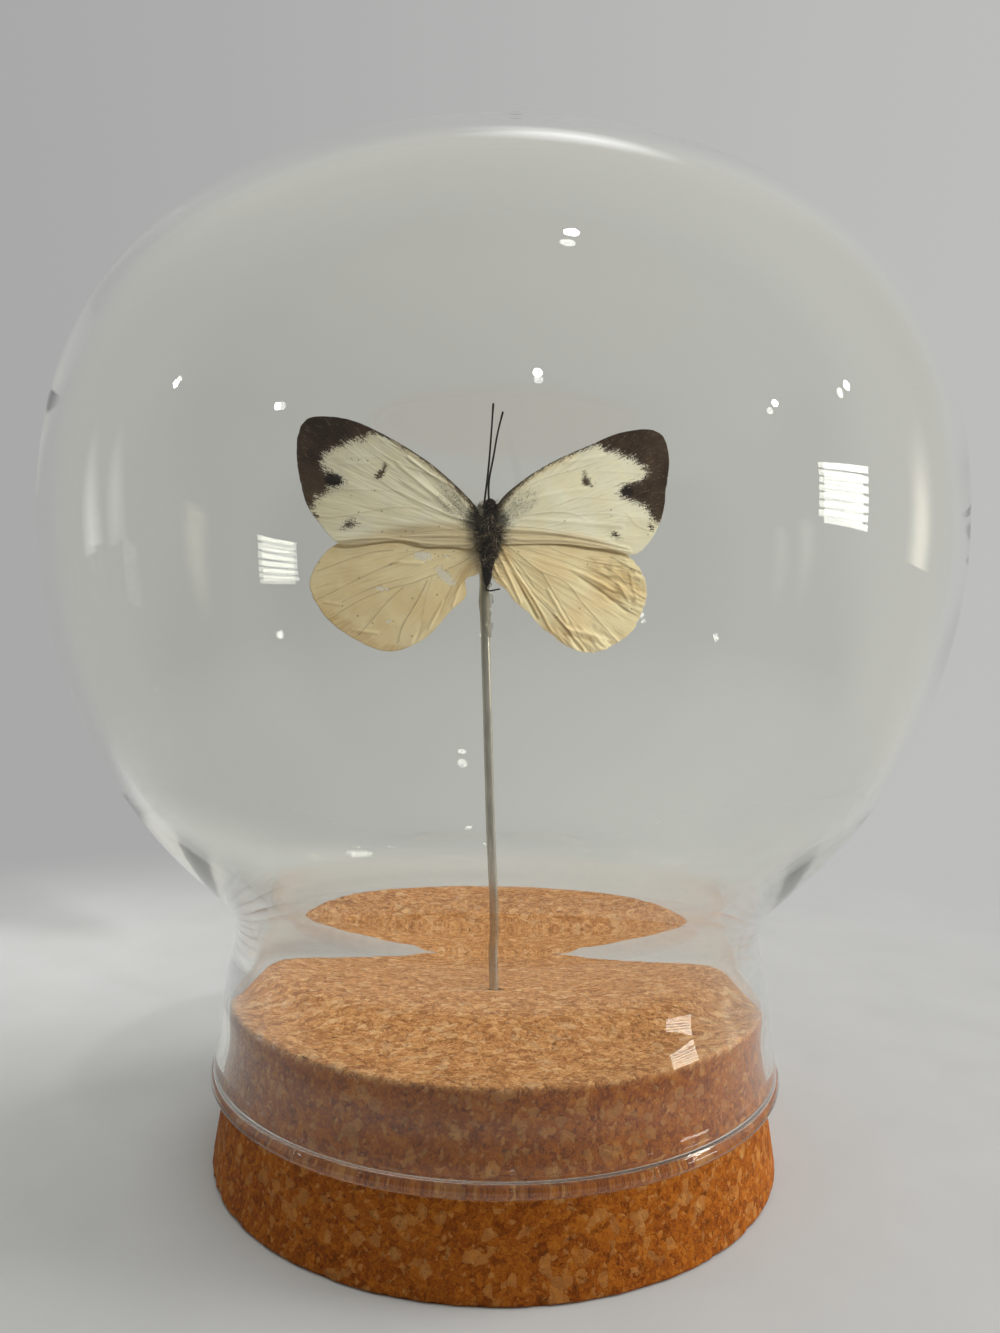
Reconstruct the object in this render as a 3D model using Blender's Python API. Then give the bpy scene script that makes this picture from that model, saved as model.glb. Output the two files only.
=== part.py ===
"""Mounted butterfly under a blown glass globe on a tapered cork stopper.

Built at real size in metres, +Z up. The origin is the middle of the cork's flat underside.
The front of the display, the side that the butterfly's upper wings face, looks along -Y.
"""
import math

import bpy
import bmesh
import numpy as np

MM = 0.001

# ---------------------------------------------------------------- driving dimensions, millimetres
CORK_BASE_RADIUS = 38.6
CORK_TOP_RADIUS = 35.35
CORK_HEIGHT = 22.1
CORK_EDGE = 0.5                    # size of the small chamfers round both faces
CORK_STEPS = 48

GLOBE_STEPS = 48
BEAD_RADIUS = 0.95                 # rolled rim of the neck
BEAD_CENTRE = (38.05, 12.15)       # radius and height of the middle of the rolled rim
# Outer wall from the neck's foot up to the crown: (radius, height)
GLASS_OUTER = [
    (38.55, 14.0), (38.0, 17.0), (37.4, 22.0), (36.6, 27.0), (35.95, 30.5), (36.35, 33.2),
    (37.9, 36.0), (41.1, 39.4), (45.6, 44.2), (50.3, 50.8), (55.2, 60.5), (58.8, 72.5),
    (60.0, 84.5), (58.5, 98.6), (51.9, 112.6), (38.9, 123.7), (20.9, 130.8), (0.0, 133.2),
]
# Wall thickness by height: the gather of glass is thickest where the neck bends into the globe
GLASS_WALL = [(12.0, 1.45), (17.0, 1.6), (22.0, 1.7), (28.0, 2.5), (31.0, 2.32), (37.0, 2.1),
              (44.0, 1.88), (52.0, 1.7), (84.0, 1.68), (133.2, 1.75)]
GLASS_SAMPLES = 21                 # points up each face of the wall

WIRE_RADIUS = 0.66
WIRE_HOLE_RADIUS = 1.0
WIRE_HOLE_FLOOR = 8.0
WIRE_FOOT = 8.5
# Wire from its foot in the cork to its tip behind the insect's head
WIRE_ROUTE = [(-0.3, 0.0, WIRE_FOOT), (-0.3, 0.0, 22.0), (-0.75, 0.0, 36.0), (-1.5, 0.0, 52.0),
              (-1.95, 0.05, 62.0), (-2.35, 0.1, 70.0), (-2.6, 0.15, 77.0), (-2.75, 0.2, 84.0),
              (-2.95, 0.2, 89.6)]
WIRE_SAMPLES = 24

GLUE_FROM, GLUE_TO = 68.5, 88.6    # heights between which clear glue coats the wire
GLUE_BORE = 0.8
GLUE_RADII = [0.9, 1.0, 1.06, 0.98, 1.08, 1.0, 0.98, 1.02, 1.0, 0.92]
GLUE_SIDES = 12

BODY_PLACE = (-2.25, -2.6)         # x and y of the insect's own axis
BODY_LEAN = math.radians(-1.5)     # the head leans towards +X
# Body outline from the tip of the abdomen to the front of the head: (radius, height)
BODY_PROFILE = [(0.0, 77.3), (0.34, 77.7), (0.62, 78.8), (0.78, 80.2), (1.05, 81.2), (1.42, 82.6),
                (1.5, 84.4), (1.38, 86.2), (0.95, 87.3), (0.72, 87.8), (0.86, 88.4), (0.84, 89.1),
                (0.5, 89.7), (0.0, 89.9)]
BODY_STEPS = 18

WING_THICKNESS = 0.3
WING_HINGE = (-2.3, -2.9, 84.1)    # the point that both pairs of wings fan out from
WING_GAP = 0.35                    # the hindwings lie this far behind the forewings
LEFT_SWEEP = math.radians(3.0)     # how far each pair is swept back from the front plane
RIGHT_SWEEP = math.radians(16.0)
WING_ARCH = 0.9                    # the wings arch forward by this much at mid span
WING_RINGS = 4
WING_SAMPLES = 40
# Wing outlines in their own plane: distance out from the hinge, and height above it
FOREWING_LEFT = [(2.2, 4.9), (4.6, 7.8), (7.8, 10.4), (14.7, 14.3), (20.8, 16.8), (24.6, 16.9),
                 (26.6, 15.6), (26.9, 12.0), (26.1, 7.3), (24.3, 2.7), (20.8, -0.9), (12.5, -0.5),
                 (8.0, -1.2), (2.3, -1.1), (1.9, 2.0)]
HINDWING_LEFT = [(2.1, 0.6), (8.0, 2.1), (14.0, 1.9), (19.5, 0.2), (22.7, -2.3), (24.6, -5.6),
                 (24.2, -9.0), (21.8, -12.0), (17.9, -14.4), (13.6, -15.4), (9.8, -14.7),
                 (6.2, -12.2), (3.4, -9.0), (2.5, -6.6), (2.1, -3.5)]
FOREWING_RIGHT = [(2.2, 5.2), (4.4, 7.8), (7.6, 10.1), (13.4, 13.4), (18.5, 15.7), (22.8, 17.0),
                  (26.0, 16.8), (27.6, 14.2), (27.3, 9.2), (26.3, 3.6), (24.4, 0.8), (22.0, -1.3),
                  (15.6, -0.6), (8.0, -0.7), (2.2, 0.4), (1.9, 2.6)]
HINDWING_RIGHT = [(2.1, 0.3), (8.0, 1.7), (15.0, 1.6), (21.0, 0.2), (23.4, -2.6), (25.0, -6.2),
                  (24.2, -10.2), (22.0, -13.3), (17.9, -15.5), (14.2, -15.7), (9.8, -13.6),
                  (6.2, -10.9), (2.9, -7.5), (2.1, -4.0)]
FOREWING_PIVOT = (3.2, 2.4)        # every outline is seen whole from its pivot
HINDWING_PIVOT = (3.6, -1.6)

FEELER_RADIUS = 0.12
ANTENNA_LEFT = [(-2.75, -4.35, 88.2), (-2.45, -4.3, 91.0), (-2.15, -3.9, 94.5), (-1.9, -3.3, 99.0),
                (-1.7, -2.6, 103.1)]
ANTENNA_RIGHT = [(-2.05, -3.75, 89.5), (-2.1, -3.4, 92.0), (-1.65, -2.9, 95.0), (-1.1, -2.3, 98.7),
                 (-0.35, -1.6, 102.2)]
LEG_RIGHT = [(-1.35, -1.2, 79.6), (-1.6, -1.25, 78.2), (-1.85, -1.3, 77.0), (-1.5, -1.35, 76.75),
             (-0.35, -1.6, 77.05)]
LEG_RADIUS = 0.1
FEELER_SAMPLES = 12


# ---------------------------------------------------------------- small helpers
def clear_scene():
    for thing in list(bpy.data.objects):
        bpy.data.objects.remove(thing, do_unlink=True)


def make_material(name, colour, roughness, metallic=0.0, transmission=0.0, alpha=1.0):
    """A Principled material with one plain colour."""
    material = bpy.data.materials.new(name)
    material.use_nodes = True
    shader = material.node_tree.nodes["Principled BSDF"]
    shader.inputs["Base Color"].default_value = (*colour, 1.0)
    shader.inputs["Roughness"].default_value = roughness
    shader.inputs["Metallic"].default_value = metallic
    shader.inputs["Transmission Weight"].default_value = transmission
    shader.inputs["Alpha"].default_value = alpha
    return material


def smooth_through(points, samples, closed=False):
    """Evenly spread samples of the cubic curve through the points, with chord-length knots.

    Each span is a Hermite cubic whose end slopes are the chord-weighted mean of the two
    neighbouring chords, which keeps a round outline round and a straight run straight.
    """
    points = np.array(points, float)
    if closed:
        points = np.vstack([points, points[:1]])
    steps = np.linalg.norm(np.diff(points, axis=0), axis=1)
    knots = np.concatenate([[0.0], np.cumsum(steps)])
    chords = np.diff(points, axis=0) / steps[:, None]
    before, after = steps[:-1, None], steps[1:, None]
    inner = (chords[:-1] * after + chords[1:] * before) / (before + after)
    if closed:
        seam = (chords[-1] * steps[0] + chords[0] * steps[-1]) / (steps[0] + steps[-1])
        slopes = np.vstack([seam, inner, seam])
    else:
        slopes = np.vstack([chords[:1], inner, chords[-1:]])
    places = np.linspace(0.0, knots[-1], samples, endpoint=not closed)
    span = np.clip(np.searchsorted(knots, places, side="right") - 1, 0, len(steps) - 1)
    width = steps[span][:, None]
    t = ((places - knots[span]) / steps[span])[:, None]
    return ((2 * t**3 - 3 * t**2 + 1) * points[span] + (t**3 - 2 * t**2 + t) * width * slopes[span]
            + (3 * t**2 - 2 * t**3) * points[span + 1] + (t**3 - t**2) * width * slopes[span + 1])


def add_object(name, data, material):
    thing = bpy.data.objects.new(name, data)
    bpy.context.scene.collection.objects.link(thing)
    data.materials.append(material)
    return thing


def turned(name, profile, steps, material):
    """A body turned about Z from (radius, height) pairs that run down its outer side."""
    mesh = bpy.data.meshes.new(name)
    places = [(radius * MM, 0.0, height * MM) for radius, height in profile]
    mesh.from_pydata(places, [(i, i + 1) for i in range(len(places) - 1)], [])
    thing = add_object(name, mesh, material)
    screw = thing.modifiers.new("Turn", "SCREW")
    screw.steps = steps
    screw.render_steps = steps
    screw.use_merge_vertices = True
    screw.merge_threshold = 0.00001
    screw.use_smooth_shade = True
    return thing


def tube(name, route, samples, radius, material, sides=3):
    """A round bar along the smooth curve through a route's points."""
    curve = bpy.data.curves.new(name, "CURVE")
    curve.dimensions = "3D"
    curve.bevel_depth = radius * MM
    curve.bevel_resolution = sides
    curve.use_fill_caps = True
    spline = curve.splines.new("POLY")
    places = smooth_through(route, samples) * MM
    spline.points.add(len(places) - 1)
    for point, place in zip(spline.points, places):
        point.co = (*place, 1.0)
    return add_object(name, curve, material)


# ---------------------------------------------------------------- glass
def wall_outline():
    """The dome's closed section, from the crown down the outside, round the rim and up inside."""
    outer = smooth_through(GLASS_OUTER, GLASS_SAMPLES)
    outer[-1] = GLASS_OUTER[-1]
    slope = np.gradient(outer, axis=0)
    slope /= np.linalg.norm(slope, axis=1)[:, None]
    outward = np.stack([slope[:, 1], -slope[:, 0]], axis=1)
    outward[-1] = (0.0, 1.0)
    heights, walls = zip(*GLASS_WALL)
    thickness = np.interp(outer[:, 1], heights, walls)[:, None]
    inner = outer - outward * thickness
    angles = np.radians(np.linspace(60.0, -240.0, 11))
    bead = np.stack([BEAD_CENTRE[0] + BEAD_RADIUS * np.cos(angles),
                     BEAD_CENTRE[1] + BEAD_RADIUS * np.sin(angles)], axis=1)
    return np.vstack([outer[::-1], bead, inner])


def build_dome(material):
    return turned("glass_dome", wall_outline(), GLOBE_STEPS, material)


# ---------------------------------------------------------------- cork and wire
def build_cork(material):
    """A tapered stopper with a narrow blind hole for the wire."""
    profile = [(0.0, CORK_HEIGHT), (CORK_TOP_RADIUS - CORK_EDGE, CORK_HEIGHT),
               (CORK_TOP_RADIUS, CORK_HEIGHT - CORK_EDGE), (CORK_BASE_RADIUS, CORK_EDGE),
               (CORK_BASE_RADIUS - CORK_EDGE, 0.0), (0.0, 0.0)]
    cork = turned("cork_base", profile, CORK_STEPS, material)
    depth = CORK_HEIGHT - WIRE_HOLE_FLOOR + 1.0
    bpy.ops.mesh.primitive_cylinder_add(
        vertices=16, radius=WIRE_HOLE_RADIUS * MM, depth=depth * MM,
        location=(WIRE_ROUTE[0][0] * MM, 0.0, (WIRE_HOLE_FLOOR + depth / 2) * MM))
    cutter = bpy.context.object
    cutter.name = "wire_hole_cutter"
    cutter.hide_render = True
    cutter.display_type = "WIRE"
    hole = cork.modifiers.new("WireHole", "BOOLEAN")
    hole.operation = "DIFFERENCE"
    hole.object = cutter
    return cork


def build_wire(material):
    return tube("stem_wire", WIRE_ROUTE, WIRE_SAMPLES, WIRE_RADIUS, material)


def build_glue(material):
    """A lumpy sleeve round the top of the wire, with a bore that clears it."""
    route = smooth_through(WIRE_ROUTE, 400)
    heights = np.linspace(GLUE_FROM, GLUE_TO, len(GLUE_RADII))
    centres = np.stack([np.interp(heights, route[:, 2], route[:, axis]) for axis in (0, 1)], axis=1)
    shape = bmesh.new()
    rings = []
    order = list(range(len(heights))) + list(reversed(range(len(heights))))
    for position, i in enumerate(order):
        radius = GLUE_RADII[i] if position < len(heights) else GLUE_BORE
        ring = []
        for k in range(GLUE_SIDES):
            turn = 2 * math.pi * k / GLUE_SIDES
            ring.append(shape.verts.new(((centres[i, 0] + radius * math.cos(turn)) * MM,
                                         (centres[i, 1] + radius * math.sin(turn)) * MM,
                                         heights[i] * MM)))
        rings.append(ring)
    for ring, following in zip(rings, rings[1:] + rings[:1]):
        for k in range(GLUE_SIDES):
            n = (k + 1) % GLUE_SIDES
            shape.faces.new((ring[k], ring[n], following[n], following[k]))
    mesh = bpy.data.meshes.new("glue_bead")
    shape.to_mesh(mesh)
    shape.free()
    return add_object("glue_bead", mesh, material)


# ---------------------------------------------------------------- insect
def build_body(material):
    """Head, thorax and abdomen in one turned body, leaning a little."""
    foot = BODY_PROFILE[0][1]
    profile = [(radius, height - foot) for radius, height in reversed(BODY_PROFILE)]
    body = turned("butterfly_body", profile, BODY_STEPS, material)
    body.location = (BODY_PLACE[0] * MM, BODY_PLACE[1] * MM, foot * MM)
    body.rotation_euler = (0.0, -BODY_LEAN, 0.0)
    return body


def build_wing(name, outline, pivot, side, sweep, behind, material):
    """A thin arched blade: rings that shrink from the outline to the pivot, with two faces."""
    rim = smooth_through(outline, WING_SAMPLES, closed=True)
    reach = np.array(outline)[:, 0].max()
    shape = bmesh.new()
    faces_of_wing = []
    for face in (0, 1):
        lift = behind + face * WING_THICKNESS
        rings = []
        for ring_number in range(WING_RINGS, 0, -1):
            shrink = ring_number / WING_RINGS
            flat = np.array(pivot) + shrink * (rim - np.array(pivot))
            rings.append([shape.verts.new(wing_point(u, v, side, sweep, lift, reach))
                          for u, v in flat])
        middle = shape.verts.new(wing_point(pivot[0], pivot[1], side, sweep, lift, reach))
        for ring, following in zip(rings, rings[1:]):
            for k in range(WING_SAMPLES):
                n = (k + 1) % WING_SAMPLES
                shape.faces.new((ring[k], ring[n], following[n], following[k]))
        for k in range(WING_SAMPLES):
            shape.faces.new((rings[-1][k], rings[-1][(k + 1) % WING_SAMPLES], middle))
        faces_of_wing.append(rings[0])
    front, back = faces_of_wing
    for k in range(WING_SAMPLES):
        n = (k + 1) % WING_SAMPLES
        shape.faces.new((front[k], back[k], back[n], front[n]))
    bmesh.ops.recalc_face_normals(shape, faces=shape.faces)
    mesh = bpy.data.meshes.new(name)
    shape.to_mesh(mesh)
    shape.free()
    return add_object(name, mesh, material)


def wing_point(u, v, side, sweep, lift, reach):
    """Place a point of a wing's own plane: arched forward at mid span and swept back."""
    arch = -WING_ARCH * math.sin(math.pi * min(max(u / reach, 0.0), 1.0))
    depth = arch + lift
    x = WING_HINGE[0] + side * (u * math.cos(sweep) - depth * math.sin(sweep))
    y = WING_HINGE[1] + u * math.sin(sweep) + depth * math.cos(sweep)
    return (x * MM, y * MM, (WING_HINGE[2] + v) * MM)


def build_wings(white, buff):
    behind = WING_THICKNESS + WING_GAP
    build_wing("forewing_left", FOREWING_LEFT, FOREWING_PIVOT, -1, LEFT_SWEEP, 0.0, white)
    build_wing("hindwing_left", HINDWING_LEFT, HINDWING_PIVOT, -1, LEFT_SWEEP, behind, buff)
    build_wing("forewing_right", FOREWING_RIGHT, FOREWING_PIVOT, 1, RIGHT_SWEEP, 0.0, white)
    build_wing("hindwing_right", HINDWING_RIGHT, HINDWING_PIVOT, 1, RIGHT_SWEEP, behind, buff)


def build_feelers(material):
    tube("antenna_left", ANTENNA_LEFT, FEELER_SAMPLES, FEELER_RADIUS, material, sides=2)
    tube("antenna_right", ANTENNA_RIGHT, FEELER_SAMPLES, FEELER_RADIUS, material, sides=2)
    tube("leg_right", LEG_RIGHT, FEELER_SAMPLES, LEG_RADIUS, material, sides=2)


def main():
    clear_scene()
    glass = make_material("clear_glass", (0.95, 0.97, 0.96), 0.02, transmission=1.0, alpha=0.3)
    cork = make_material("cork", (0.42, 0.22, 0.10), 0.75)
    wire = make_material("satin_wire", (0.62, 0.61, 0.58), 0.35, metallic=1.0)
    glue = make_material("clear_glue", (0.82, 0.80, 0.72), 0.2, transmission=0.6)
    white = make_material("wing_white", (0.75, 0.72, 0.62), 0.7)
    buff = make_material("wing_buff", (0.62, 0.48, 0.26), 0.7)
    dark = make_material("insect_dark", (0.03, 0.022, 0.018), 0.6)
    build_cork(cork)
    build_dome(glass)
    build_wire(wire)
    build_glue(glue)
    build_body(dark)
    build_wings(white, buff)
    build_feelers(dark)


main()
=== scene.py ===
"""Dried white butterfly on a wire, under a blown glass globe that stands on a cork stopper."""
import math

import bpy
import numpy as np
from mathutils import Matrix, Vector


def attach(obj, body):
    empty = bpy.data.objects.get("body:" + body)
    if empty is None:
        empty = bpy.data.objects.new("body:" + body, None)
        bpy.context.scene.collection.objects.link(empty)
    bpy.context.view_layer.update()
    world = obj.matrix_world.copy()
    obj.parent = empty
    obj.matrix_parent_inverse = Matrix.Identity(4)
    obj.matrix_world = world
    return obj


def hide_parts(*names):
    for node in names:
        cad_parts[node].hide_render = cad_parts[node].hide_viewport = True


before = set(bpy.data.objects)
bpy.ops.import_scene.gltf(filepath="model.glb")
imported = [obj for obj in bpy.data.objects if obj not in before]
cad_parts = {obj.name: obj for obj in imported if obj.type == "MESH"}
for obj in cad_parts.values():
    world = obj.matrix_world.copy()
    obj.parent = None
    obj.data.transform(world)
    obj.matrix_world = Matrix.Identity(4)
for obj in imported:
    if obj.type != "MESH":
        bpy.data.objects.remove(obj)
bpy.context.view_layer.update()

MM = 0.001

# ---------------------------------------------------------------- measures, in millimetres
# Outer face of the blown glass from the foot of the neck to the crown: (radius, height)
GLASS_OUTER = [
    (38.55, 14.0), (38.0, 17.0), (37.4, 22.0), (36.6, 27.0), (35.95, 30.5), (36.35, 33.2),
    (37.9, 36.0), (41.1, 39.4), (45.6, 44.2), (50.3, 50.8), (55.2, 60.5), (58.8, 72.5),
    (60.0, 84.5), (58.5, 98.6), (51.9, 112.6), (38.9, 123.7), (20.9, 130.8), (0.0, 133.2),
]
# Thickness of the wall by height: thickest where the neck was drawn in
GLASS_WALL = [(12.0, 1.45), (17.0, 1.6), (22.0, 1.8), (28.0, 2.5), (31.0, 2.32), (34.0, 2.16),
              (37.0, 2.1), (40.0, 2.03), (44.0, 1.88), (48.0, 1.73), (52.0, 1.7),
              (84.0, 1.68), (133.2, 1.75)]
LIP_RADIUS = 0.95
LIP_CENTRE = (38.05, 12.15)
LIP_TURN = (60.0, -240.0)          # from the outer face round under the rim to the inner face
GLASS_ROWS = 150
GLASS_STEPS = 256

CORK_BASE_RADIUS = 38.6
CORK_TOP_RADIUS = 35.35
CORK_HEIGHT = 22.1
CORK_EDGE = 0.5
CORK_STEPS = 432
WIRE_HOLE_RADIUS = 0.85
WIRE_HOLE_DEPTH = 9.0
HOLE_EDGE = 0.25

WIRE_RADIUS = 0.66
WIRE_ROUTE = [(-0.3, 0.0, 8.5), (-0.3, 0.0, 22.0), (-0.75, 0.0, 36.0), (-1.5, 0.0, 52.0),
              (-1.95, 0.05, 62.0), (-2.35, 0.1, 70.0), (-2.6, 0.15, 77.0), (-2.75, 0.2, 84.0),
              (-2.95, 0.2, 89.6)]

WING_HINGE = np.array([-2.3, -2.9, 84.1])
LEFT_SWEEP = math.radians(3.0)
RIGHT_SWEEP = math.radians(16.0)
WING_ARCH = 0.9
WING_RAYS = 480
WING_ROWS = 78
WING_SHEET = 0.07

HAIR_SIDES = 3
HAIR_KNOTS = 5


# ---------------------------------------------------------------- curves through points
def spline(points, samples, closed=False):
    """Natural cubic spline through the points on chord-length knots, sampled evenly.

    The second slopes at the knots solve the usual tridiagonal equations. A closed outline is
    wrapped round by four points at each end first, and only its own turn is sampled.
    """
    points = np.array(points, float)
    count = len(points)
    if closed:
        points = np.vstack([points[-4:], points, points[:5]])
    step = np.linalg.norm(np.diff(points, axis=0), axis=1)
    knot = np.concatenate([[0.0], np.cumsum(step)])
    size = len(points)
    left = np.eye(size)
    right = np.zeros_like(points)
    row = np.arange(1, size - 1)
    left[row, row - 1] = step[:-1]
    left[row, row] = 2 * (step[:-1] + step[1:])
    left[row, row + 1] = step[1:]
    chord = np.diff(points, axis=0) / step[:, None]
    right[1:-1] = 6 * np.diff(chord, axis=0)
    bend = np.linalg.solve(left, right)
    if closed:
        place = np.linspace(knot[4], knot[4 + count], samples, endpoint=False)
    else:
        place = np.linspace(0.0, knot[-1], samples)
    span = np.clip(np.searchsorted(knot, place, side="right") - 1, 0, size - 2)
    wide = step[span][:, None]
    after = (place - knot[span])[:, None]
    before = wide - after
    return (bend[span] * before**3 / (6 * wide) + bend[span + 1] * after**3 / (6 * wide)
            + (points[span] / wide - bend[span] * wide / 6) * before
            + (points[span + 1] / wide - bend[span + 1] * wide / 6) * after)


# ---------------------------------------------------------------- numeric noise, whole arrays
def scramble(x, y, z, seed):
    """A repeatable number from 0 to 1 for each whole-number lattice point."""
    word = (x.astype(np.int64) * 374761393 + y.astype(np.int64) * 668265263
            + z.astype(np.int64) * 2147483647 + seed * 974634777) & 0xFFFFFFFF
    word = ((word ^ (word >> 13)) * 1274126177) & 0xFFFFFFFF
    word = ((word ^ (word >> 16)) * 2246822519) & 0xFFFFFFFF
    return (word ^ (word >> 15)) / 4294967295.0


def soft_noise(places, seed=0):
    """Smooth noise from -1 to 1: lattice numbers blended by the cubic step in each direction."""
    cell = np.floor(places).astype(np.int64)
    part = places - cell
    part = part * part * (3 - 2 * part)
    total = np.zeros(len(places))
    for corner in range(8):
        shift = np.array([corner & 1, corner >> 1 & 1, corner >> 2 & 1])
        weight = np.prod(np.where(shift == 1, part, 1 - part), axis=1)
        total += weight * scramble(*(cell + shift).T, seed)
    return total * 2 - 1


def rough_noise(places, octaves=3, seed=0):
    """Octaves of soft noise, each twice as fine and half as strong."""
    return sum(soft_noise(places * 2.0**k, seed + k) * 0.5**k for k in range(octaves))


def granule_noise(places, seed=0):
    """Nearest and second nearest distance to one jittered seed point per unit cell."""
    cell = np.floor(places).astype(np.int64)
    nearest = np.full(len(places), 9.0)
    second = nearest.copy()
    owner = np.zeros(len(places))
    for corner in range(27):
        shift = np.array([corner % 3 - 1, corner // 3 % 3 - 1, corner // 9 - 1])
        home = cell + shift
        spot = np.stack([scramble(*home.T, seed + axis) for axis in range(3)], axis=1)
        away = np.linalg.norm(home + spot - places, axis=1)
        closer = away < nearest
        second = np.where(closer, nearest, np.minimum(second, away))
        owner = np.where(closer, scramble(*home.T, seed + 7), owner)
        nearest = np.where(closer, away, nearest)
    return nearest, second, owner


def ease(low, high, value):
    """Smooth step from 0 at low to 1 at high."""
    part = np.clip((value - low) / (high - low), 0.0, 1.0)
    return part * part * (3 - 2 * part)


# ---------------------------------------------------------------- meshes from arrays
def mesh_piece(name, points, quads, triangles, material, replaces=()):
    """One object from arrays of points (millimetres), quads and triangles."""
    mesh = bpy.data.meshes.new(name)
    mesh.from_pydata((np.asarray(points) * MM).tolist(), [],
                     [list(f) for f in np.asarray(quads, int).reshape(-1, 4)]
                     + [list(f) for f in np.asarray(triangles, int).reshape(-1, 3)])
    mesh.polygons.foreach_set("use_smooth", np.full(len(mesh.polygons), True))
    mesh.update()
    piece = bpy.data.objects.new(name, mesh)
    bpy.context.scene.collection.objects.link(piece)
    mesh.materials.append(material)
    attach(piece, "root")
    if replaces:
        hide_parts(*replaces)
    return piece


def set_value(piece, name, values):
    """Store one number per point as an attribute that the material reads."""
    layer = piece.data.attributes.new(name, "FLOAT", "POINT")
    layer.data.foreach_set("value", np.asarray(values, np.float32))


def set_vector(piece, name, values):
    """Store one vector per point as an attribute that the material reads."""
    layer = piece.data.attributes.new(name, "FLOAT_VECTOR", "POINT")
    layer.data.foreach_set("vector", np.asarray(values, np.float32).ravel())


def grid_quads(rows, columns, start=0):
    """Quads of a grid stored row by row, whose last column joins the first."""
    i = np.arange(rows - 1)[:, None]
    j = np.arange(columns)[None, :]
    n = (j + 1) % columns
    quads = np.stack([i * columns + j, i * columns + n, (i + 1) * columns + n,
                      (i + 1) * columns + j], axis=-1)
    return quads.reshape(-1, 4) + start


def turned_arrays(radius, height, steps, centre=None, shape=None):
    """Points, quads and end fans of a surface turned about Z, closed on the axis at both ends.

    Each ring holds the points centre + radius (cos a, sin a) at one height, the two ends are
    single points, and shape, where given, moves the ring points as one array.
    """
    angle = np.linspace(0, 2 * np.pi, steps, endpoint=False)
    middle = np.zeros((len(radius), 2)) if centre is None else centre
    ring = np.stack([middle[1:-1, :1] + radius[1:-1, None] * np.cos(angle),
                     middle[1:-1, 1:] + radius[1:-1, None] * np.sin(angle),
                     np.repeat(height[1:-1, None], steps, axis=1)], axis=-1)
    rings = len(radius) - 2
    points = ring.reshape(-1, 3)
    points = np.vstack([points, [[*middle[0], height[0]], [*middle[-1], height[-1]]]])
    if shape is not None:
        points = shape(points, angle, rings)
    first, last = rings * steps, rings * steps + 1
    j = np.arange(steps)
    n = (j + 1) % steps
    caps = np.vstack([np.stack([np.full(steps, first), j, n], axis=1),
                      np.stack([np.full(steps, last), (rings - 1) * steps + n,
                                (rings - 1) * steps + j], axis=1)])
    quads = grid_quads(rings, steps)[:, ::-1]
    return points, quads, caps


def tube_arrays(route, radius, sides, start=0, squash=1.0):
    """A profile circle carried along a path, closed by a point at each end.

    route is a list of centre points, radius one number per centre. The circle lies across the
    path, with its first direction kept as level as it can be.
    """
    route = np.asarray(route, float)
    radius = np.broadcast_to(radius, len(route))
    along = np.gradient(route, axis=0)
    along /= np.linalg.norm(along, axis=1)[:, None]
    guide = np.array([0.0, 1.0, 0.0]) if abs(along[:, 1]).max() < 0.9 else np.array([1.0, 0, 0])
    across = np.cross(along, guide)
    across /= np.linalg.norm(across, axis=1)[:, None]
    up = np.cross(across, along)
    angle = np.linspace(0, 2 * np.pi, sides, endpoint=False)
    ring = (route[:, None] + radius[:, None, None]
            * (np.cos(angle)[None, :, None] * across[:, None]
               + squash * np.sin(angle)[None, :, None] * up[:, None]))
    points = np.vstack([ring.reshape(-1, 3), route[:1] - along[:1] * radius[0] * 0.3,
                        route[-1:] + along[-1:] * radius[-1] * 0.3])
    rows = len(route)
    quads = grid_quads(rows, sides, start=start)[:, ::-1]
    j = np.arange(sides)
    n = (j + 1) % sides
    first, last = rows * sides + start, rows * sides + 1 + start
    caps = np.vstack([np.stack([np.full(sides, first), j + start, n + start], axis=1),
                      np.stack([np.full(sides, last), (rows - 1) * sides + n + start,
                                (rows - 1) * sides + j + start], axis=1)])
    return points, quads, caps


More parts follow.
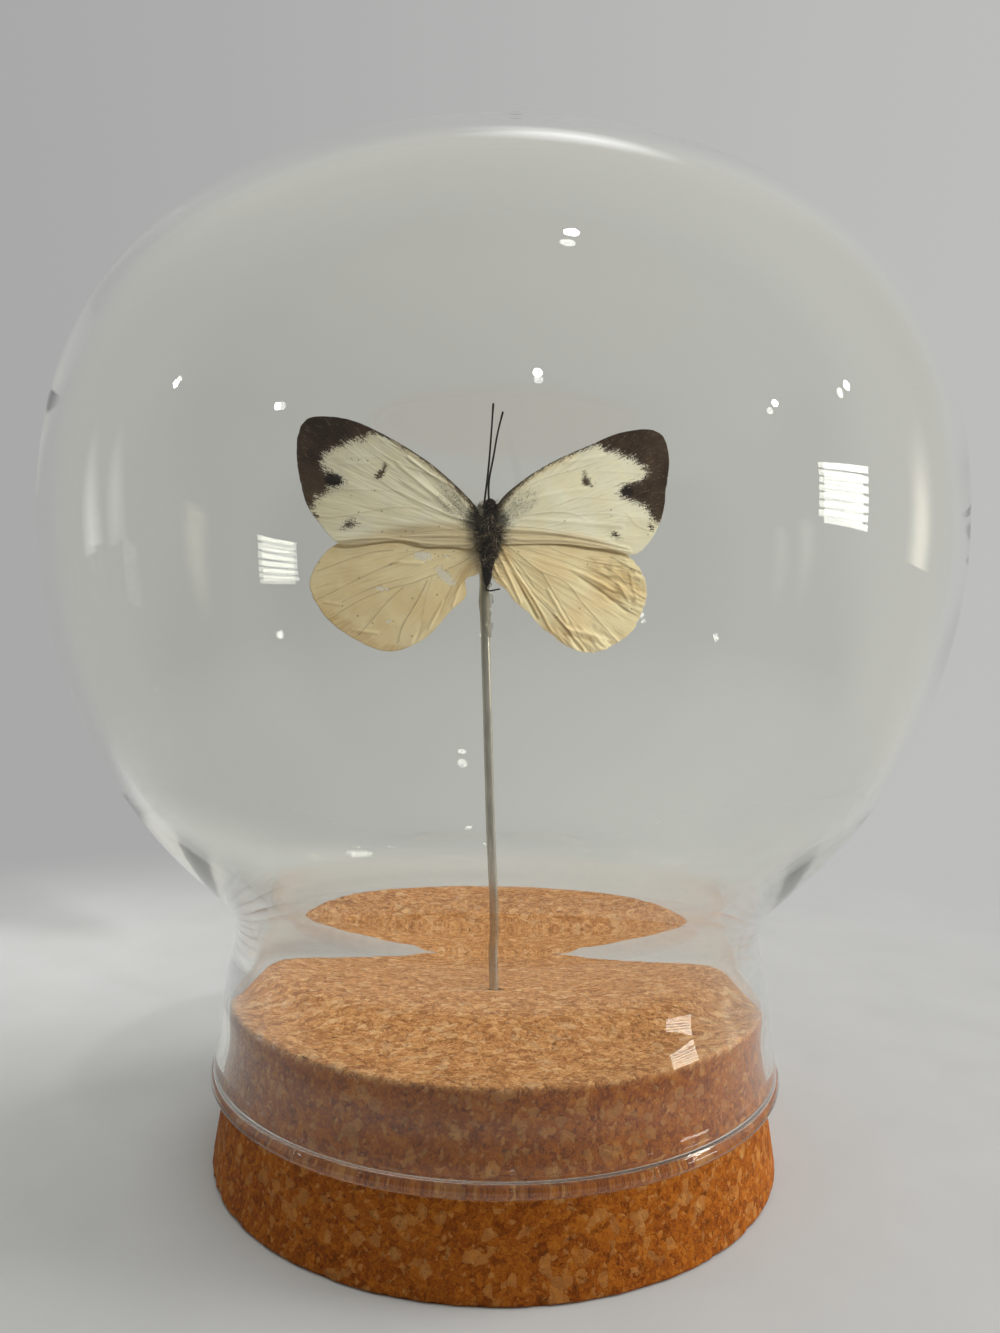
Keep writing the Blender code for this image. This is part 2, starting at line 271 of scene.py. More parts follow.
# ---------------------------------------------------------------- material nodes
class Nodes:
    """Short names for adding and wiring a material's nodes."""

    def __init__(self, name):
        self.material = bpy.data.materials.new(name)
        self.material.use_nodes = True
        self.tree = self.material.node_tree
        self.shader = self.tree.nodes["Principled BSDF"]
        self.output = self.tree.nodes["Material Output"]

    def add(self, kind, **settings):
        node = self.tree.nodes.new(kind)
        for key, value in settings.items():
            setattr(node, key, value)
        return node

    def wire(self, source, target):
        self.tree.links.new(source, target)

    def feed(self, socket, value):
        if hasattr(value, "links"):
            self.wire(value, socket)
        else:
            socket.default_value = value

    def object_place(self, stretch=(1.0, 1.0, 1.0)):
        """Object coordinates in millimetres, stretched where a pattern runs one way."""
        place = self.add("ShaderNodeTexCoord").outputs["Object"]
        mapping = self.add("ShaderNodeMapping")
        mapping.inputs["Scale"].default_value = [s / MM for s in stretch]
        self.wire(place, mapping.inputs["Vector"])
        return mapping.outputs["Vector"]

    def attribute(self, name, output="Fac"):
        return self.add("ShaderNodeAttribute", attribute_name=name).outputs[output]

    def noise(self, place, scale, detail=3.0, roughness=0.55, colour=False):
        node = self.add("ShaderNodeTexNoise")
        self.feed(node.inputs["Vector"], place)
        node.inputs["Scale"].default_value = scale
        node.inputs["Detail"].default_value = detail
        node.inputs["Roughness"].default_value = roughness
        return node.outputs["Color" if colour else "Fac"]

    def cells(self, place, scale, feature="F1", output="Distance"):
        node = self.add("ShaderNodeTexVoronoi", feature=feature)
        self.feed(node.inputs["Vector"], place)
        node.inputs["Scale"].default_value = scale
        return node.outputs[output]

    def channels(self, colour):
        node = self.add("ShaderNodeSeparateColor")
        self.wire(colour, node.inputs[0])
        return node.outputs

    def math(self, operation, a, b=0.0, c=0.0):
        node = self.add("ShaderNodeMath", operation=operation)
        for socket, value in zip(node.inputs, (a, b, c)):
            self.feed(socket, value)
        return node.outputs[0]

    def between(self, value, low, high, to_low=0.0, to_high=1.0):
        """Smooth step of value from low to high."""
        node = self.add("ShaderNodeMapRange", interpolation_type="SMOOTHSTEP")
        self.feed(node.inputs["Value"], value)
        node.inputs["From Min"].default_value = low
        node.inputs["From Max"].default_value = high
        node.inputs["To Min"].default_value = to_low
        node.inputs["To Max"].default_value = to_high
        return node.outputs["Result"]

    def blend(self, amount, a, b, mode="MIX"):
        """Mix two colours."""
        node = self.add("ShaderNodeMix", data_type="RGBA", blend_type=mode)
        self.feed(node.inputs[0], amount)
        for socket, value in ((node.inputs[6], a), (node.inputs[7], b)):
            self.feed(socket, value if hasattr(value, "links") else (*value, 1.0))
        return node.outputs[2]

    def tones(self, value, stops):
        """A colour ramp: stops are (position, colour)."""
        node = self.add("ShaderNodeValToRGB")
        self.feed(node.inputs["Fac"], value)
        ramp = node.color_ramp
        while len(ramp.elements) < len(stops):
            ramp.elements.new(0.5)
        for element, (position, colour) in zip(ramp.elements, stops):
            element.position = position
            element.color = (*colour, 1.0)
        return node.outputs["Color"]

    def shift(self, place, offset, amount):
        """Push a place by a colour noise, to break up straight patterns."""
        centred = self.add("ShaderNodeVectorMath", operation="SUBTRACT")
        self.wire(offset, centred.inputs[0])
        centred.inputs[1].default_value = (0.5, 0.5, 0.5)
        grown = self.add("ShaderNodeVectorMath", operation="SCALE")
        self.wire(centred.outputs[0], grown.inputs[0])
        grown.inputs["Scale"].default_value = amount
        added = self.add("ShaderNodeVectorMath", operation="ADD")
        self.wire(place, added.inputs[0])
        self.wire(grown.outputs[0], added.inputs[1])
        return added.outputs[0]

    def bump(self, height, strength, distance_mm):
        node = self.add("ShaderNodeBump")
        node.inputs["Strength"].default_value = strength
        node.inputs["Distance"].default_value = distance_mm * MM
        self.wire(height, node.inputs["Height"])
        return node.outputs["Normal"]

    def mix_shaders(self, amount, first, second):
        """Two finishes in one: first where amount is 0, second where it is 1."""
        mix = self.add("ShaderNodeMixShader")
        self.feed(mix.inputs[0], amount)
        self.wire(first, mix.inputs[1])
        self.wire(second, mix.inputs[2])
        return mix.outputs[0]

    def let_light_through(self, tint):
        """Finish a clear material: shadow and diffuse rays meet only a tinted clear film."""
        path = self.add("ShaderNodeLightPath")
        passing = self.math("MAXIMUM", path.outputs["Is Shadow Ray"],
                            path.outputs["Is Diffuse Ray"])
        film = self.add("ShaderNodeBsdfTransparent")
        film.inputs["Color"].default_value = (*tint, 1.0)
        self.wire(self.mix_shaders(passing, self.shader.outputs[0], film.outputs[0]),
                  self.output.inputs["Surface"])


def clear_glass():
    """Clear glass that lets lamps light what it holds: plain transmission for what is seen
    through it, a nearly clear film for shadow and diffuse rays."""
    n = Nodes("clear_glass")
    n.shader.inputs["Base Color"].default_value = (0.985, 0.99, 0.955, 1.0)
    n.shader.inputs["Roughness"].default_value = 0.0
    n.shader.inputs["IOR"].default_value = 1.5
    n.shader.inputs["Transmission Weight"].default_value = 1.0
    n.let_light_through((0.955, 0.965, 0.96))
    return n.material


def agglomerated_cork():
    """Pressed cork granules: a tone for each granule, pale flakes, red bark bits and pores, with
    painted shade: sides darker and more saturated than the top, the wire's hole dark inside.
    """
    n = Nodes("cork")
    place = n.object_place()
    bent = n.shift(place, n.noise(place, 0.8, 3.0, colour=True), 1.1)
    coarse = n.channels(n.cells(bent, 0.85, output="Color"))
    small = n.channels(n.cells(bent, 2.1, output="Color"))
    grain = n.noise(bent, 4.0, 4.0, 0.75)
    tone = n.math("MULTIPLY_ADD", coarse[0], 0.15, n.math(
        "MULTIPLY_ADD", small[0], 0.18, n.math("MULTIPLY", grain, 0.72)))
    colour = n.tones(tone, [(0.36, (0.27, 0.10, 0.027)), (0.47, (0.48, 0.20, 0.062)),
                            (0.58, (0.64, 0.30, 0.105)), (0.70, (0.78, 0.43, 0.19))])
    red = n.between(small[1], 0.82, 0.92)
    colour = n.blend(n.math("MULTIPLY", red, 0.35), colour, (0.36, 0.11, 0.03))
    flake_cell = n.shift(place, n.noise(place, 0.5, 2.0, colour=True), 1.6)
    flake = n.math("MULTIPLY", n.between(n.cells(flake_cell, 0.30), 0.16, 0.30, 1.0, 0.0),
                   n.between(n.channels(n.cells(flake_cell, 0.30, output="Color"))[0],
                             0.68, 0.72))
    # Painted shade: the cork's sides, and the pale flakes on them, are made darker and more saturated
    # than its top.
    colour = n.blend(n.attribute("painted_shade_flank"), colour, (0.60, 0.36, 0.09), "MULTIPLY")
    pale = n.blend(n.attribute("painted_shade_flank"), (0.82, 0.53, 0.28), (0.58, 0.285, 0.085))
    chip = n.between(coarse[1], 0.86, 0.9)
    colour = n.blend(n.math("MULTIPLY", chip, 0.34), colour, pale)
    bit = n.between(small[2], 0.9, 0.94)
    colour = n.blend(n.math("MULTIPLY", bit, 0.42), colour, pale)
    colour = n.blend(n.math("MULTIPLY", flake, 0.5), colour, pale)
    seam = n.between(n.cells(bent, 0.85, feature="DISTANCE_TO_EDGE"), 0.0, 0.07, 1.0, 0.0)
    seam_dark = n.math("MULTIPLY", seam, n.between(n.noise(place, 0.9, 2.0), 0.40, 0.62))
    colour = n.blend(n.math("MULTIPLY", seam_dark, 0.45), colour, (0.15, 0.045, 0.010))
    speck = n.between(n.noise(place, 2.2, 3.0, 0.7), 0.63, 0.69)
    colour = n.blend(n.math("MULTIPLY", speck, 0.8), colour, (0.075, 0.024, 0.008))
    # Real pores and seams, plus painted shade: the inside of the wire's hole is darkened the same way.
    pit = n.attribute("pit")
    colour = n.blend(n.math("MULTIPLY", pit, 0.75), colour, (0.085, 0.028, 0.008))
    n.wire(colour, n.shader.inputs["Base Color"])
    n.wire(n.between(tone, 0.3, 0.8, 0.6, 0.8), n.shader.inputs["Roughness"])
    n.shader.inputs["Specular IOR Level"].default_value = 0.12
    relief = n.math("ADD", n.math("MULTIPLY", n.noise(bent, 5.0, 4.0, 0.7), 0.7),
                    n.math("MULTIPLY", seam_dark, -0.5))
    n.wire(n.bump(relief, 0.6, 0.2), n.shader.inputs["Normal"])
    return n.material


def satin_wire():
    """Soft drawn wire: fine lengthwise drawing lines and faint dull stains."""
    n = Nodes("satin_wire")
    lines = n.noise(n.object_place((1.0, 1.0, 0.03)), 7.0, 3.0, 0.6)
    stain = n.noise(n.object_place((1.0, 1.0, 0.3)), 0.8, 3.0, 0.6)
    colour = n.tones(n.math("MULTIPLY_ADD", lines, 0.35, n.math("MULTIPLY", stain, 0.65)),
                     [(0.3, (0.36, 0.33, 0.27)), (0.55, (0.50, 0.47, 0.40)),
                      (0.75, (0.62, 0.58, 0.50))])
    n.wire(colour, n.shader.inputs["Base Color"])
    n.shader.inputs["Metallic"].default_value = 0.7
    n.wire(n.between(stain, 0.35, 0.7, 0.14, 0.22), n.shader.inputs["Roughness"])
    n.wire(n.bump(lines, 0.05, 0.02), n.shader.inputs["Normal"])
    return n.material


def clear_glue():
    """Hot glue: nearly clear, a little cloudy and wavy."""
    n = Nodes("clear_glue")
    place = n.object_place((1.0, 1.0, 0.45))
    cloud = n.noise(place, 1.6, 3.0, 0.6)
    n.wire(n.tones(cloud, [(0.35, (0.62, 0.61, 0.56)), (0.55, (0.84, 0.83, 0.79)),
                           (0.72, (0.94, 0.93, 0.90))]), n.shader.inputs["Base Color"])
    n.shader.inputs["IOR"].default_value = 1.38
    n.shader.inputs["Transmission Weight"].default_value = 0.96
    n.shader.inputs["Roughness"].default_value = 0.06
    n.wire(n.bump(n.noise(place, 2.4, 3.0), 0.35, 0.1), n.shader.inputs["Normal"])
    n.let_light_through((0.8, 0.79, 0.74))
    return n.material


def insect_dark(name, low, high, roughness):
    """Dry chitin or hair: near black brown, mottled along the body."""
    n = Nodes(name)
    place = n.object_place((1.0, 1.0, 0.5))
    mottle = n.noise(place, 2.5, 4.0, 0.65)
    n.wire(n.tones(mottle, [(0.3, low), (0.7, high)]), n.shader.inputs["Base Color"])
    n.shader.inputs["Roughness"].default_value = roughness
    n.shader.inputs["Specular IOR Level"].default_value = 0.2
    n.wire(n.bump(n.noise(place, 6.0, 3.0), 0.4, 0.08), n.shader.inputs["Normal"])
    return n.material


THROUGH_LIGHT = 0.3  # share of the light that comes through the thin membrane


def wing_scales(name, ground, warm, shade, vein_tone, worn_share):
    """Powdery wing scales over a thin membrane.

    The attributes give, for each point: fan, the place along and across the rays from the wing's
    root; tip, how far inside the dark tip it lies; blot, the blackest spot; pale_tip, the
    browner part of the tip; vein, how dark a vein is drawn; dust, how thick the black dusting
    is; warm, the yellow-brown stain; under, where the other wing lies behind and its colour is
    painted on as seen through, a painted see-through light; edge, how far the rim is; worn,
    where the scales are rubbed off.
    """
    n = Nodes(name)
    fan = n.attribute("fan", "Vector")
    streak = n.noise(fan, 1.0, 4.0, 0.65)
    place = n.object_place()
    cloud = n.noise(place, 0.2, 3.0, 0.6)
    fine = n.noise(place, 6.0, 2.0, 0.7)
    colour = pale_scales(n, cloud, streak, fine, (ground, warm, shade, vein_tone))
    colour = dark_scales(n, colour, cloud, streak, fine, fan)
    colour = wing_dust(n, colour, place)
    n.wire(colour, n.shader.inputs["Base Color"])
    n.shader.inputs["Roughness"].default_value = 0.7
    n.shader.inputs["Specular IOR Level"].default_value = 0.25
    n.shader.inputs["Sheen Weight"].default_value = 0.1
    relief = n.math("MULTIPLY_ADD", streak, 0.8, n.math("MULTIPLY", fine, 0.25))
    normal = n.bump(relief, 0.6, 0.14)
    n.wire(normal, n.shader.inputs["Normal"])
    glow = n.add("ShaderNodeBsdfTranslucent")
    n.wire(colour, glow.inputs["Color"])
    n.wire(normal, glow.inputs["Normal"])
    finish = n.mix_shaders(THROUGH_LIGHT, n.shader.outputs[0], glow.outputs[0])
    if worn_share:
        rough = n.math("SUBTRACT", n.noise(place, 1.8, 4.0, 0.75), 0.5)
        worn = n.between(n.math("MULTIPLY_ADD", rough, 2.4, n.attribute("worn")), 0.12, 0.3)
        bare = n.add("ShaderNodeBsdfTransparent")
        finish = n.mix_shaders(n.math("MULTIPLY", worn, worn_share), finish, bare.outputs[0])
    n.wire(finish, n.output.inputs["Surface"])
    return n.material


def pale_scales(n, cloud, streak, fine, tones):
    """Ground colour of a wing, streaked along its rays, with stains, veins, a darker rim and, where
    the other wing lies behind, that wing's colour painted on as if seen through.
    """
    ground, warm, shade, vein_tone = tones
    colour = n.blend(n.between(cloud, 0.35, 0.68), ground, warm)
    colour = n.blend(n.math("MULTIPLY", n.between(streak, 0.5, 0.74), 0.42), colour, shade)
    colour = n.blend(n.math("MULTIPLY", n.between(fine, 0.52, 0.78), 0.22), colour, shade)
    bright = tuple(min(0.95, 1.13 * g) for g in ground)
    colour = n.blend(n.math("MULTIPLY", n.between(streak, 0.42, 0.26), 0.45), colour, bright)
    # Painted see-through light: where the other wing lies behind, its buff colour is painted on.
    under = n.math("MULTIPLY", n.attribute("under"), n.between(streak, 0.25, 0.7, 0.75, 0.5))
    colour = n.blend(under, colour, (0.62, 0.46, 0.22))
    stain = n.math("MULTIPLY", n.attribute("warm"), n.between(streak, 0.3, 0.72, 0.2, 0.68))
    colour = n.blend(stain, colour, (0.60, 0.40, 0.15))
    colour = n.blend(n.math("MULTIPLY", n.attribute("vein"), n.between(streak, 0.2, 0.6, 0.45,
                                                                     0.78)), colour, vein_tone)
    colour = n.blend(n.between(n.attribute("edge"), 0.0, 0.14, 0.16, 0.0), colour, vein_tone)
    return colour


def dark_scales(n, colour, cloud, streak, fine, fan):
    """The dark wing tip and spots, with a ragged edge of single scales."""
    scales = n.noise(n.shift(fan, n.noise(fan, 1.5, 1.0, colour=True), 0.5), 2.6, 3.0, 0.75)
    ragged = n.math("MULTIPLY_ADD", n.math("SUBTRACT", scales, 0.5), 3.6,
                    n.math("MULTIPLY", n.math("SUBTRACT", fine, 0.5), 3.0))
    ragged = n.math("MULTIPLY_ADD", n.math("SUBTRACT", streak, 0.5), 1.8, ragged)
    tip = n.between(n.math("ADD", n.attribute("tip"), ragged), -0.15, 0.15)
    dark = n.blend(n.between(cloud, 0.4, 0.62), (0.036, 0.019, 0.010), (0.066, 0.038, 0.021))
    browner = n.math("MULTIPLY", n.attribute("pale_tip"), n.between(fine, 0.3, 0.6, 0.5, 1.0))
    dark = n.blend(browner, dark, (0.092, 0.056, 0.031))
    dark = n.blend(n.math("MULTIPLY", n.between(scales, 0.575, 0.66), 0.5), dark,
                   (0.26, 0.19, 0.125))
    colour = n.blend(tip, colour, dark)
    blot = n.between(n.math("MULTIPLY_ADD", ragged, 0.28, n.attribute("blot")), 0.0, 0.25)
    return n.blend(n.math("MULTIPLY", blot, 0.92), colour, (0.012, 0.006, 0.005))


def wing_dust(n, colour, place):
    """Black dusting that the dust attribute thickens, and a few crumbs of dirt."""
    grit = n.noise(place, 8.5, 2.0, 0.85)
    dust = n.between(n.math("MULTIPLY_ADD", n.attribute("dust"), 0.38, grit), 0.70, 0.77)
    colour = n.blend(n.math("MULTIPLY", dust, 0.85), colour, (0.055, 0.042, 0.024))
    chosen = n.channels(n.cells(place, 0.9, output="Color"))[0]
    crumb = n.math("MULTIPLY", n.between(n.cells(place, 0.9), 0.07, 0.13, 1.0, 0.0),
                   n.between(chosen, 0.72, 0.74))
    return n.blend(n.math("MULTIPLY", crumb, 0.75), colour, (0.07, 0.045, 0.022))


# ---------------------------------------------------------------- glass and cork
def build_dome(material):
    """Blown globe: its wall's section carried round the axis, with the faint waves of blown glass.

    Outer face from crown to neck, half turn round the rolled lip, then the inner face back up.
    """
    outer = spline(GLASS_OUTER, GLASS_ROWS)
    outer[-1] = GLASS_OUTER[-1]
    slope = np.gradient(outer, axis=0)
    slope /= np.linalg.norm(slope, axis=1)[:, None]
    outward = np.stack([slope[:, 1], -slope[:, 0]], axis=1)
    outward[-1] = (0.0, 1.0)
    wall = spline(GLASS_WALL, 300)
    inner = outer - outward * np.interp(outer[:, 1], wall[:, 0], wall[:, 1])[:, None]
    turn = np.radians(np.linspace(*LIP_TURN, 20))
    lip = np.stack([LIP_CENTRE[0] + LIP_RADIUS * np.cos(turn),
                    LIP_CENTRE[1] + LIP_RADIUS * np.sin(turn)], axis=1)
    section = np.vstack([outer[::-1], lip, inner])

    def waves(points, angle, rings):
        """Move each ring point along its radius by a few slow waves, unlike on the two faces."""
        ring = points[:-2].reshape(rings, GLASS_STEPS, 3)
        height = ring[:, :, 2]
        round_ = angle[None, :]
        within = (np.arange(rings) >= GLASS_ROWS)[:, None]
        wave = np.where(
            within,
            0.030 * np.sin(2 * round_ + height * 0.11 + 1.0) + 0.018 * np.sin(5 * round_ - height * 0.19)
            + 0.010 * np.sin(3 * round_ + height * 0.42),
            0.030 * np.sin(3 * round_ - height * 0.09 + 2.0) + 0.016 * np.sin(4 * round_ + height * 0.23)
            + 0.010 * np.sin(2 * round_ - height * 0.37 + 0.5))
        radius = np.hypot(ring[:, :, 0], ring[:, :, 1])
        fade = ease(2.0, 25.0, radius) * ease(38.0, 66.0, height)
        grow = 1 + wave * fade / np.maximum(radius, 1e-6)
        ring[:, :, 0] *= grow
        ring[:, :, 1] *= grow
        return points

    points, quads, caps = turned_arrays(section[:, 0], section[:, 1], GLASS_STEPS, shape=waves)
    return mesh_piece("dome_glass", points, quads, caps, material,
                      ("glass_dome",))


def build_cork(material):
    """Stopper turned round a centre that slides from the wire's hole to the cork's own axis.

    Its skin is pressed in at random pits and seams between granules, and its two edges are
    slightly crumbled.
    """
    hole_floor = CORK_HEIGHT - WIRE_HOLE_DEPTH
    hole = WIRE_HOLE_RADIUS + np.array([0.0, 0.0, HOLE_EDGE])
    top = WIRE_HOLE_RADIUS + HOLE_EDGE + np.linspace(0, 1, 76)[1:] ** 0.9 * (
        CORK_TOP_RADIUS - WIRE_HOLE_RADIUS - HOLE_EDGE - CORK_EDGE)
    edge = np.radians(np.linspace(75, 15, 4))
    brim = np.stack([CORK_TOP_RADIUS - CORK_EDGE + CORK_EDGE * np.cos(edge),
                     CORK_HEIGHT - CORK_EDGE + CORK_EDGE * np.sin(edge)], axis=1)
    down = np.linspace(0, 1, 54)
    side = np.stack([CORK_TOP_RADIUS + (CORK_BASE_RADIUS - CORK_TOP_RADIUS) * down,
                     CORK_HEIGHT - CORK_EDGE - (CORK_HEIGHT - 2 * CORK_EDGE) * down], axis=1)
    foot = np.stack([CORK_BASE_RADIUS - CORK_EDGE + CORK_EDGE * np.cos(-edge[::-1]),
                     CORK_EDGE + CORK_EDGE * np.sin(-edge[::-1])], axis=1)
    under = np.linspace(CORK_BASE_RADIUS - CORK_EDGE, 0.0, 14)
    radius = np.concatenate([[0.0], hole, top, brim[:, 0], side[:, 0], foot[:, 0], under])
    height = np.concatenate([[hole_floor, hole_floor, CORK_HEIGHT - 0.3, CORK_HEIGHT],
                             np.full(len(top), CORK_HEIGHT), brim[:, 1], side[:, 1],
                             foot[:, 1], np.zeros(len(under))])
    slide = np.clip(radius / CORK_TOP_RADIUS, 0, 1)
    slide[-len(under) - 1:] = 1.0
    centre = np.stack([WIRE_ROUTE[0][0] * (1 - slide), np.zeros(len(radius))], axis=1)
    store = {}

    def crumble(points, angle, rings):
        """Press points in along their outward direction by granule seams, pits and edge loss."""
        outward = np.zeros_like(points)
        on_top = points[:, 2] > CORK_HEIGHT - 0.05
        below = points[:, 2] < 0.05
        flat = np.hypot(points[:, 0], points[:, 1])
        wall = ~(on_top | below)
        outward[on_top, 2] = 1.0
        outward[wall, :2] = points[wall, :2] / np.maximum(flat[wall, None], 1e-6)
        bent = points + 0.7 * np.stack([soft_noise(points * 0.5, 3 + k) for k in range(3)],
                                       axis=1)
        near, second, owner = granule_noise(bent * 0.62, 11)
        seam = 1 - ease(0.0, 0.13, second - near)
        fine, fine_second, fine_owner = granule_noise(bent * 1.2, 29)
        pit = ease(0.84, 0.92, fine_owner) * (1 - ease(0.10, 0.34, fine))
        open_seam = seam * ease(0.05, 0.45, soft_noise(points * 0.33, 51))
        press = (0.04 * (owner - 0.5) + 0.07 * open_seam + 0.2 * pit
                 + 0.03 * soft_noise(points * 1.6, 77))
        brim_wear = np.exp(-((points[:, 2] - CORK_HEIGHT) / 0.8) ** 2) * ease(
            CORK_TOP_RADIUS - 1.2, CORK_TOP_RADIUS, flat)
        foot_wear = np.exp(-(points[:, 2] / 0.8) ** 2) * ease(
            CORK_BASE_RADIUS - 1.2, CORK_BASE_RADIUS, flat)
        chip = np.maximum(0.0, rough_noise(points * 0.55, 3, 91))
        press += 0.30 * (brim_wear + foot_wear) * chip
        inside = flat < WIRE_HOLE_RADIUS + 0.9
        press[below | (inside & (points[:, 2] < CORK_HEIGHT - 0.1))] = 0.0
        store["pit"] = np.clip(pit + 0.25 * open_seam, 0, 1)
        # Painted shade: the inside of the wire's hole is marked fully, so the material paints it dark.
        store["pit"][inside & (points[:, 2] < CORK_HEIGHT - 0.1)] = 1.0
        # Painted shade: 1 on the sides, which the material paints darker and more saturated than the
        # top.
        store["painted_shade_flank"] = ease(CORK_HEIGHT, CORK_HEIGHT - 0.9, points[:, 2])
        return points - outward * press[:, None]

    points, quads, caps = turned_arrays(radius, height, CORK_STEPS, centre, crumble)
    cork = mesh_piece("cork_stopper", points, quads, caps, material, ("cork_base",))
    for name, values in store.items():
        set_value(cork, name, values)
    return cork


# ---------------------------------------------------------------- wire and glue
def build_wire(material):
    """A soft wire: a circle carried along the smooth route, a touch uneven in thickness."""
    route = spline(WIRE_ROUTE, 220)
    radius = WIRE_RADIUS * (1 + 0.008 * soft_noise(route * 0.2, 5))
    points, quads, caps = tube_arrays(route, radius, 24)
    mesh_piece("wire", points, quads, caps, material, ("stem_wire",))


def build_glue(material):
    """A lumpy skin of glue round the wire: the wire's circle grown by lumps and drips."""
    route = spline(WIRE_ROUTE, 900)
    height = np.linspace(68.9, 89.9, 130)
    centre = np.stack([np.interp(height, route[:, 2], route[:, axis]) for axis in (0, 1)]
                      + [height], axis=1)
    centre[:, 0] += 0.06 * np.sin(height * 0.9) * ease(69, 72, height)
    ends = ease(68.9, 73.0, height) * ease(89.95, 89.0, height)
    swell = 0.04 + 0.09 * (0.5 + 0.5 * np.sin(height * 1.35 + 0.6)) ** 2
    radius = WIRE_RADIUS * 0.6 + ends * (WIRE_RADIUS * 0.4 + swell)
    points, quads, caps = tube_arrays(centre, radius, 36)
    lumps = rough_noise(points * np.array([1.1, 1.1, 0.5]), 3, 17)
    hub = np.vstack([np.repeat(centre, 36, axis=0), points[-2:]])
    outward = points - hub
    right = np.clip(outward[:, 0] / np.maximum(np.hypot(*outward[:, :2].T), 1e-6), 0, 1)
    beads = np.clip(rough_noise(points * np.array([0.5, 0.5, 1.3]), 2, 19) + 0.1, 0, 1)
    grow = 0.08 * lumps + 0.75 * right * beads * ease(79.5, 77.5, hub[:, 2])
    points = hub + outward * (1 + grow * ease(68.9, 70.5, hub[:, 2]))[:, None]
    mesh_piece("glue", points, quads, caps, material, ("glue_bead",))


# ---------------------------------------------------------------- insect's body
BODY_OUTLINE = [(0.03, 77.3), (0.34, 77.7), (0.62, 78.8), (0.78, 80.2), (1.02, 81.2),
                (1.4, 82.6), (1.5, 84.4), (1.38, 86.2), (0.9, 87.3), (0.72, 87.8), (0.86, 88.4),
                (0.84, 89.1), (0.5, 89.7), (0.03, 89.9)]


def body_axis(height):
    """The insect's own middle line: a gentle lean of the head towards +X."""
    rise = height - 77.3
    return np.stack([-2.2 + 0.028 * rise, np.full_like(height, -2.6), height], axis=-1)


def build_body(material):
    """Abdomen, thorax and head: a ring whose radius follows the outline, ribbed on the abdomen."""
    outline = spline(BODY_OUTLINE, 110)
    centre = body_axis(outline[:, 1])
    rib = 1 + 0.05 * np.abs(np.sin((outline[:, 1] - 77.3) * 2.9)) * (outline[:, 1] < 81.5)
    points, quads, caps = tube_arrays(centre, outline[:, 0] * rib, 40, squash=0.92)
    bumps = rough_noise(points * 1.3, 3, 23)
    hub = np.vstack([np.repeat(centre, 40, axis=0), points[-2:]])
    points = hub + (points - hub) * (1 + 0.07 * bumps[:, None])
    mesh_piece("body", points, quads, caps, material, ("butterfly_body",))


def build_eyes(material):
    """Two bulging eyes: spheres as rings of latitude."""
    parts = []
    start = 0
    for side in (-1, 1):
        height = np.linspace(-1, 1, 16)
        radius = np.sqrt(np.clip(1 - height**2, 0.0004, 1)) * 0.46
        middle = body_axis(np.array([88.7]))[0] + np.array([0.62 * side, -0.25, 0.0])
        centre = middle + np.stack([np.zeros(16), np.zeros(16), height * 0.46], axis=1)
        points, quads, caps = tube_arrays(centre, radius, 20, start)
        parts.append((points, quads, caps))
        start += len(points)
    points, quads, caps = (np.vstack(group) for group in zip(*parts))
    mesh_piece("eyes", points, quads, caps, material)


def build_feelers(material):
    """Antennae with a slim club at the tip, and the one leg that stands clear."""
    pairs = (
        ("antenna_l", [(-2.75, -4.0, 88.2), (-2.45, -4.0, 91.0), (-2.15, -3.7, 94.5),
                       (-1.9, -3.2, 99.0), (-1.7, -2.6, 103.1)], "antenna_left"),
        ("antenna_r", [(-2.05, -3.6, 89.5), (-2.1, -3.4, 92.0), (-1.65, -2.9, 95.0),
                       (-1.1, -2.3, 98.7), (-0.35, -1.6, 102.2)], "antenna_right"))
    for name, route, node in pairs:
        path = spline(route, 120)
        way = np.linspace(0, 1, 120)
        radius = 0.15 - 0.03 * way + 0.03 * ease(0.88, 0.95, way) * ease(1.02, 0.97, way)
        radius = radius * (1 + 0.06 * np.sin(way * 2 * np.pi * 38))
        points, quads, caps = tube_arrays(path, radius, 10)
        mesh_piece(name, points, quads, caps, material, (node,))
    path = spline([(-2.15, -2.2, 78.6), (-2.25, -1.7, 77.6), (-2.2, -1.35, 76.97),
                   (-1.7, -1.35, 76.86), (-1.1, -1.5, 76.97), (-0.35, -1.65, 77.12)], 60)
    way = np.linspace(0, 1, 60)
    points, quads, caps = tube_arrays(path, 0.15 - 0.05 * way, 10)
    mesh_piece("leg", points, quads, caps, material, ("leg_right",))


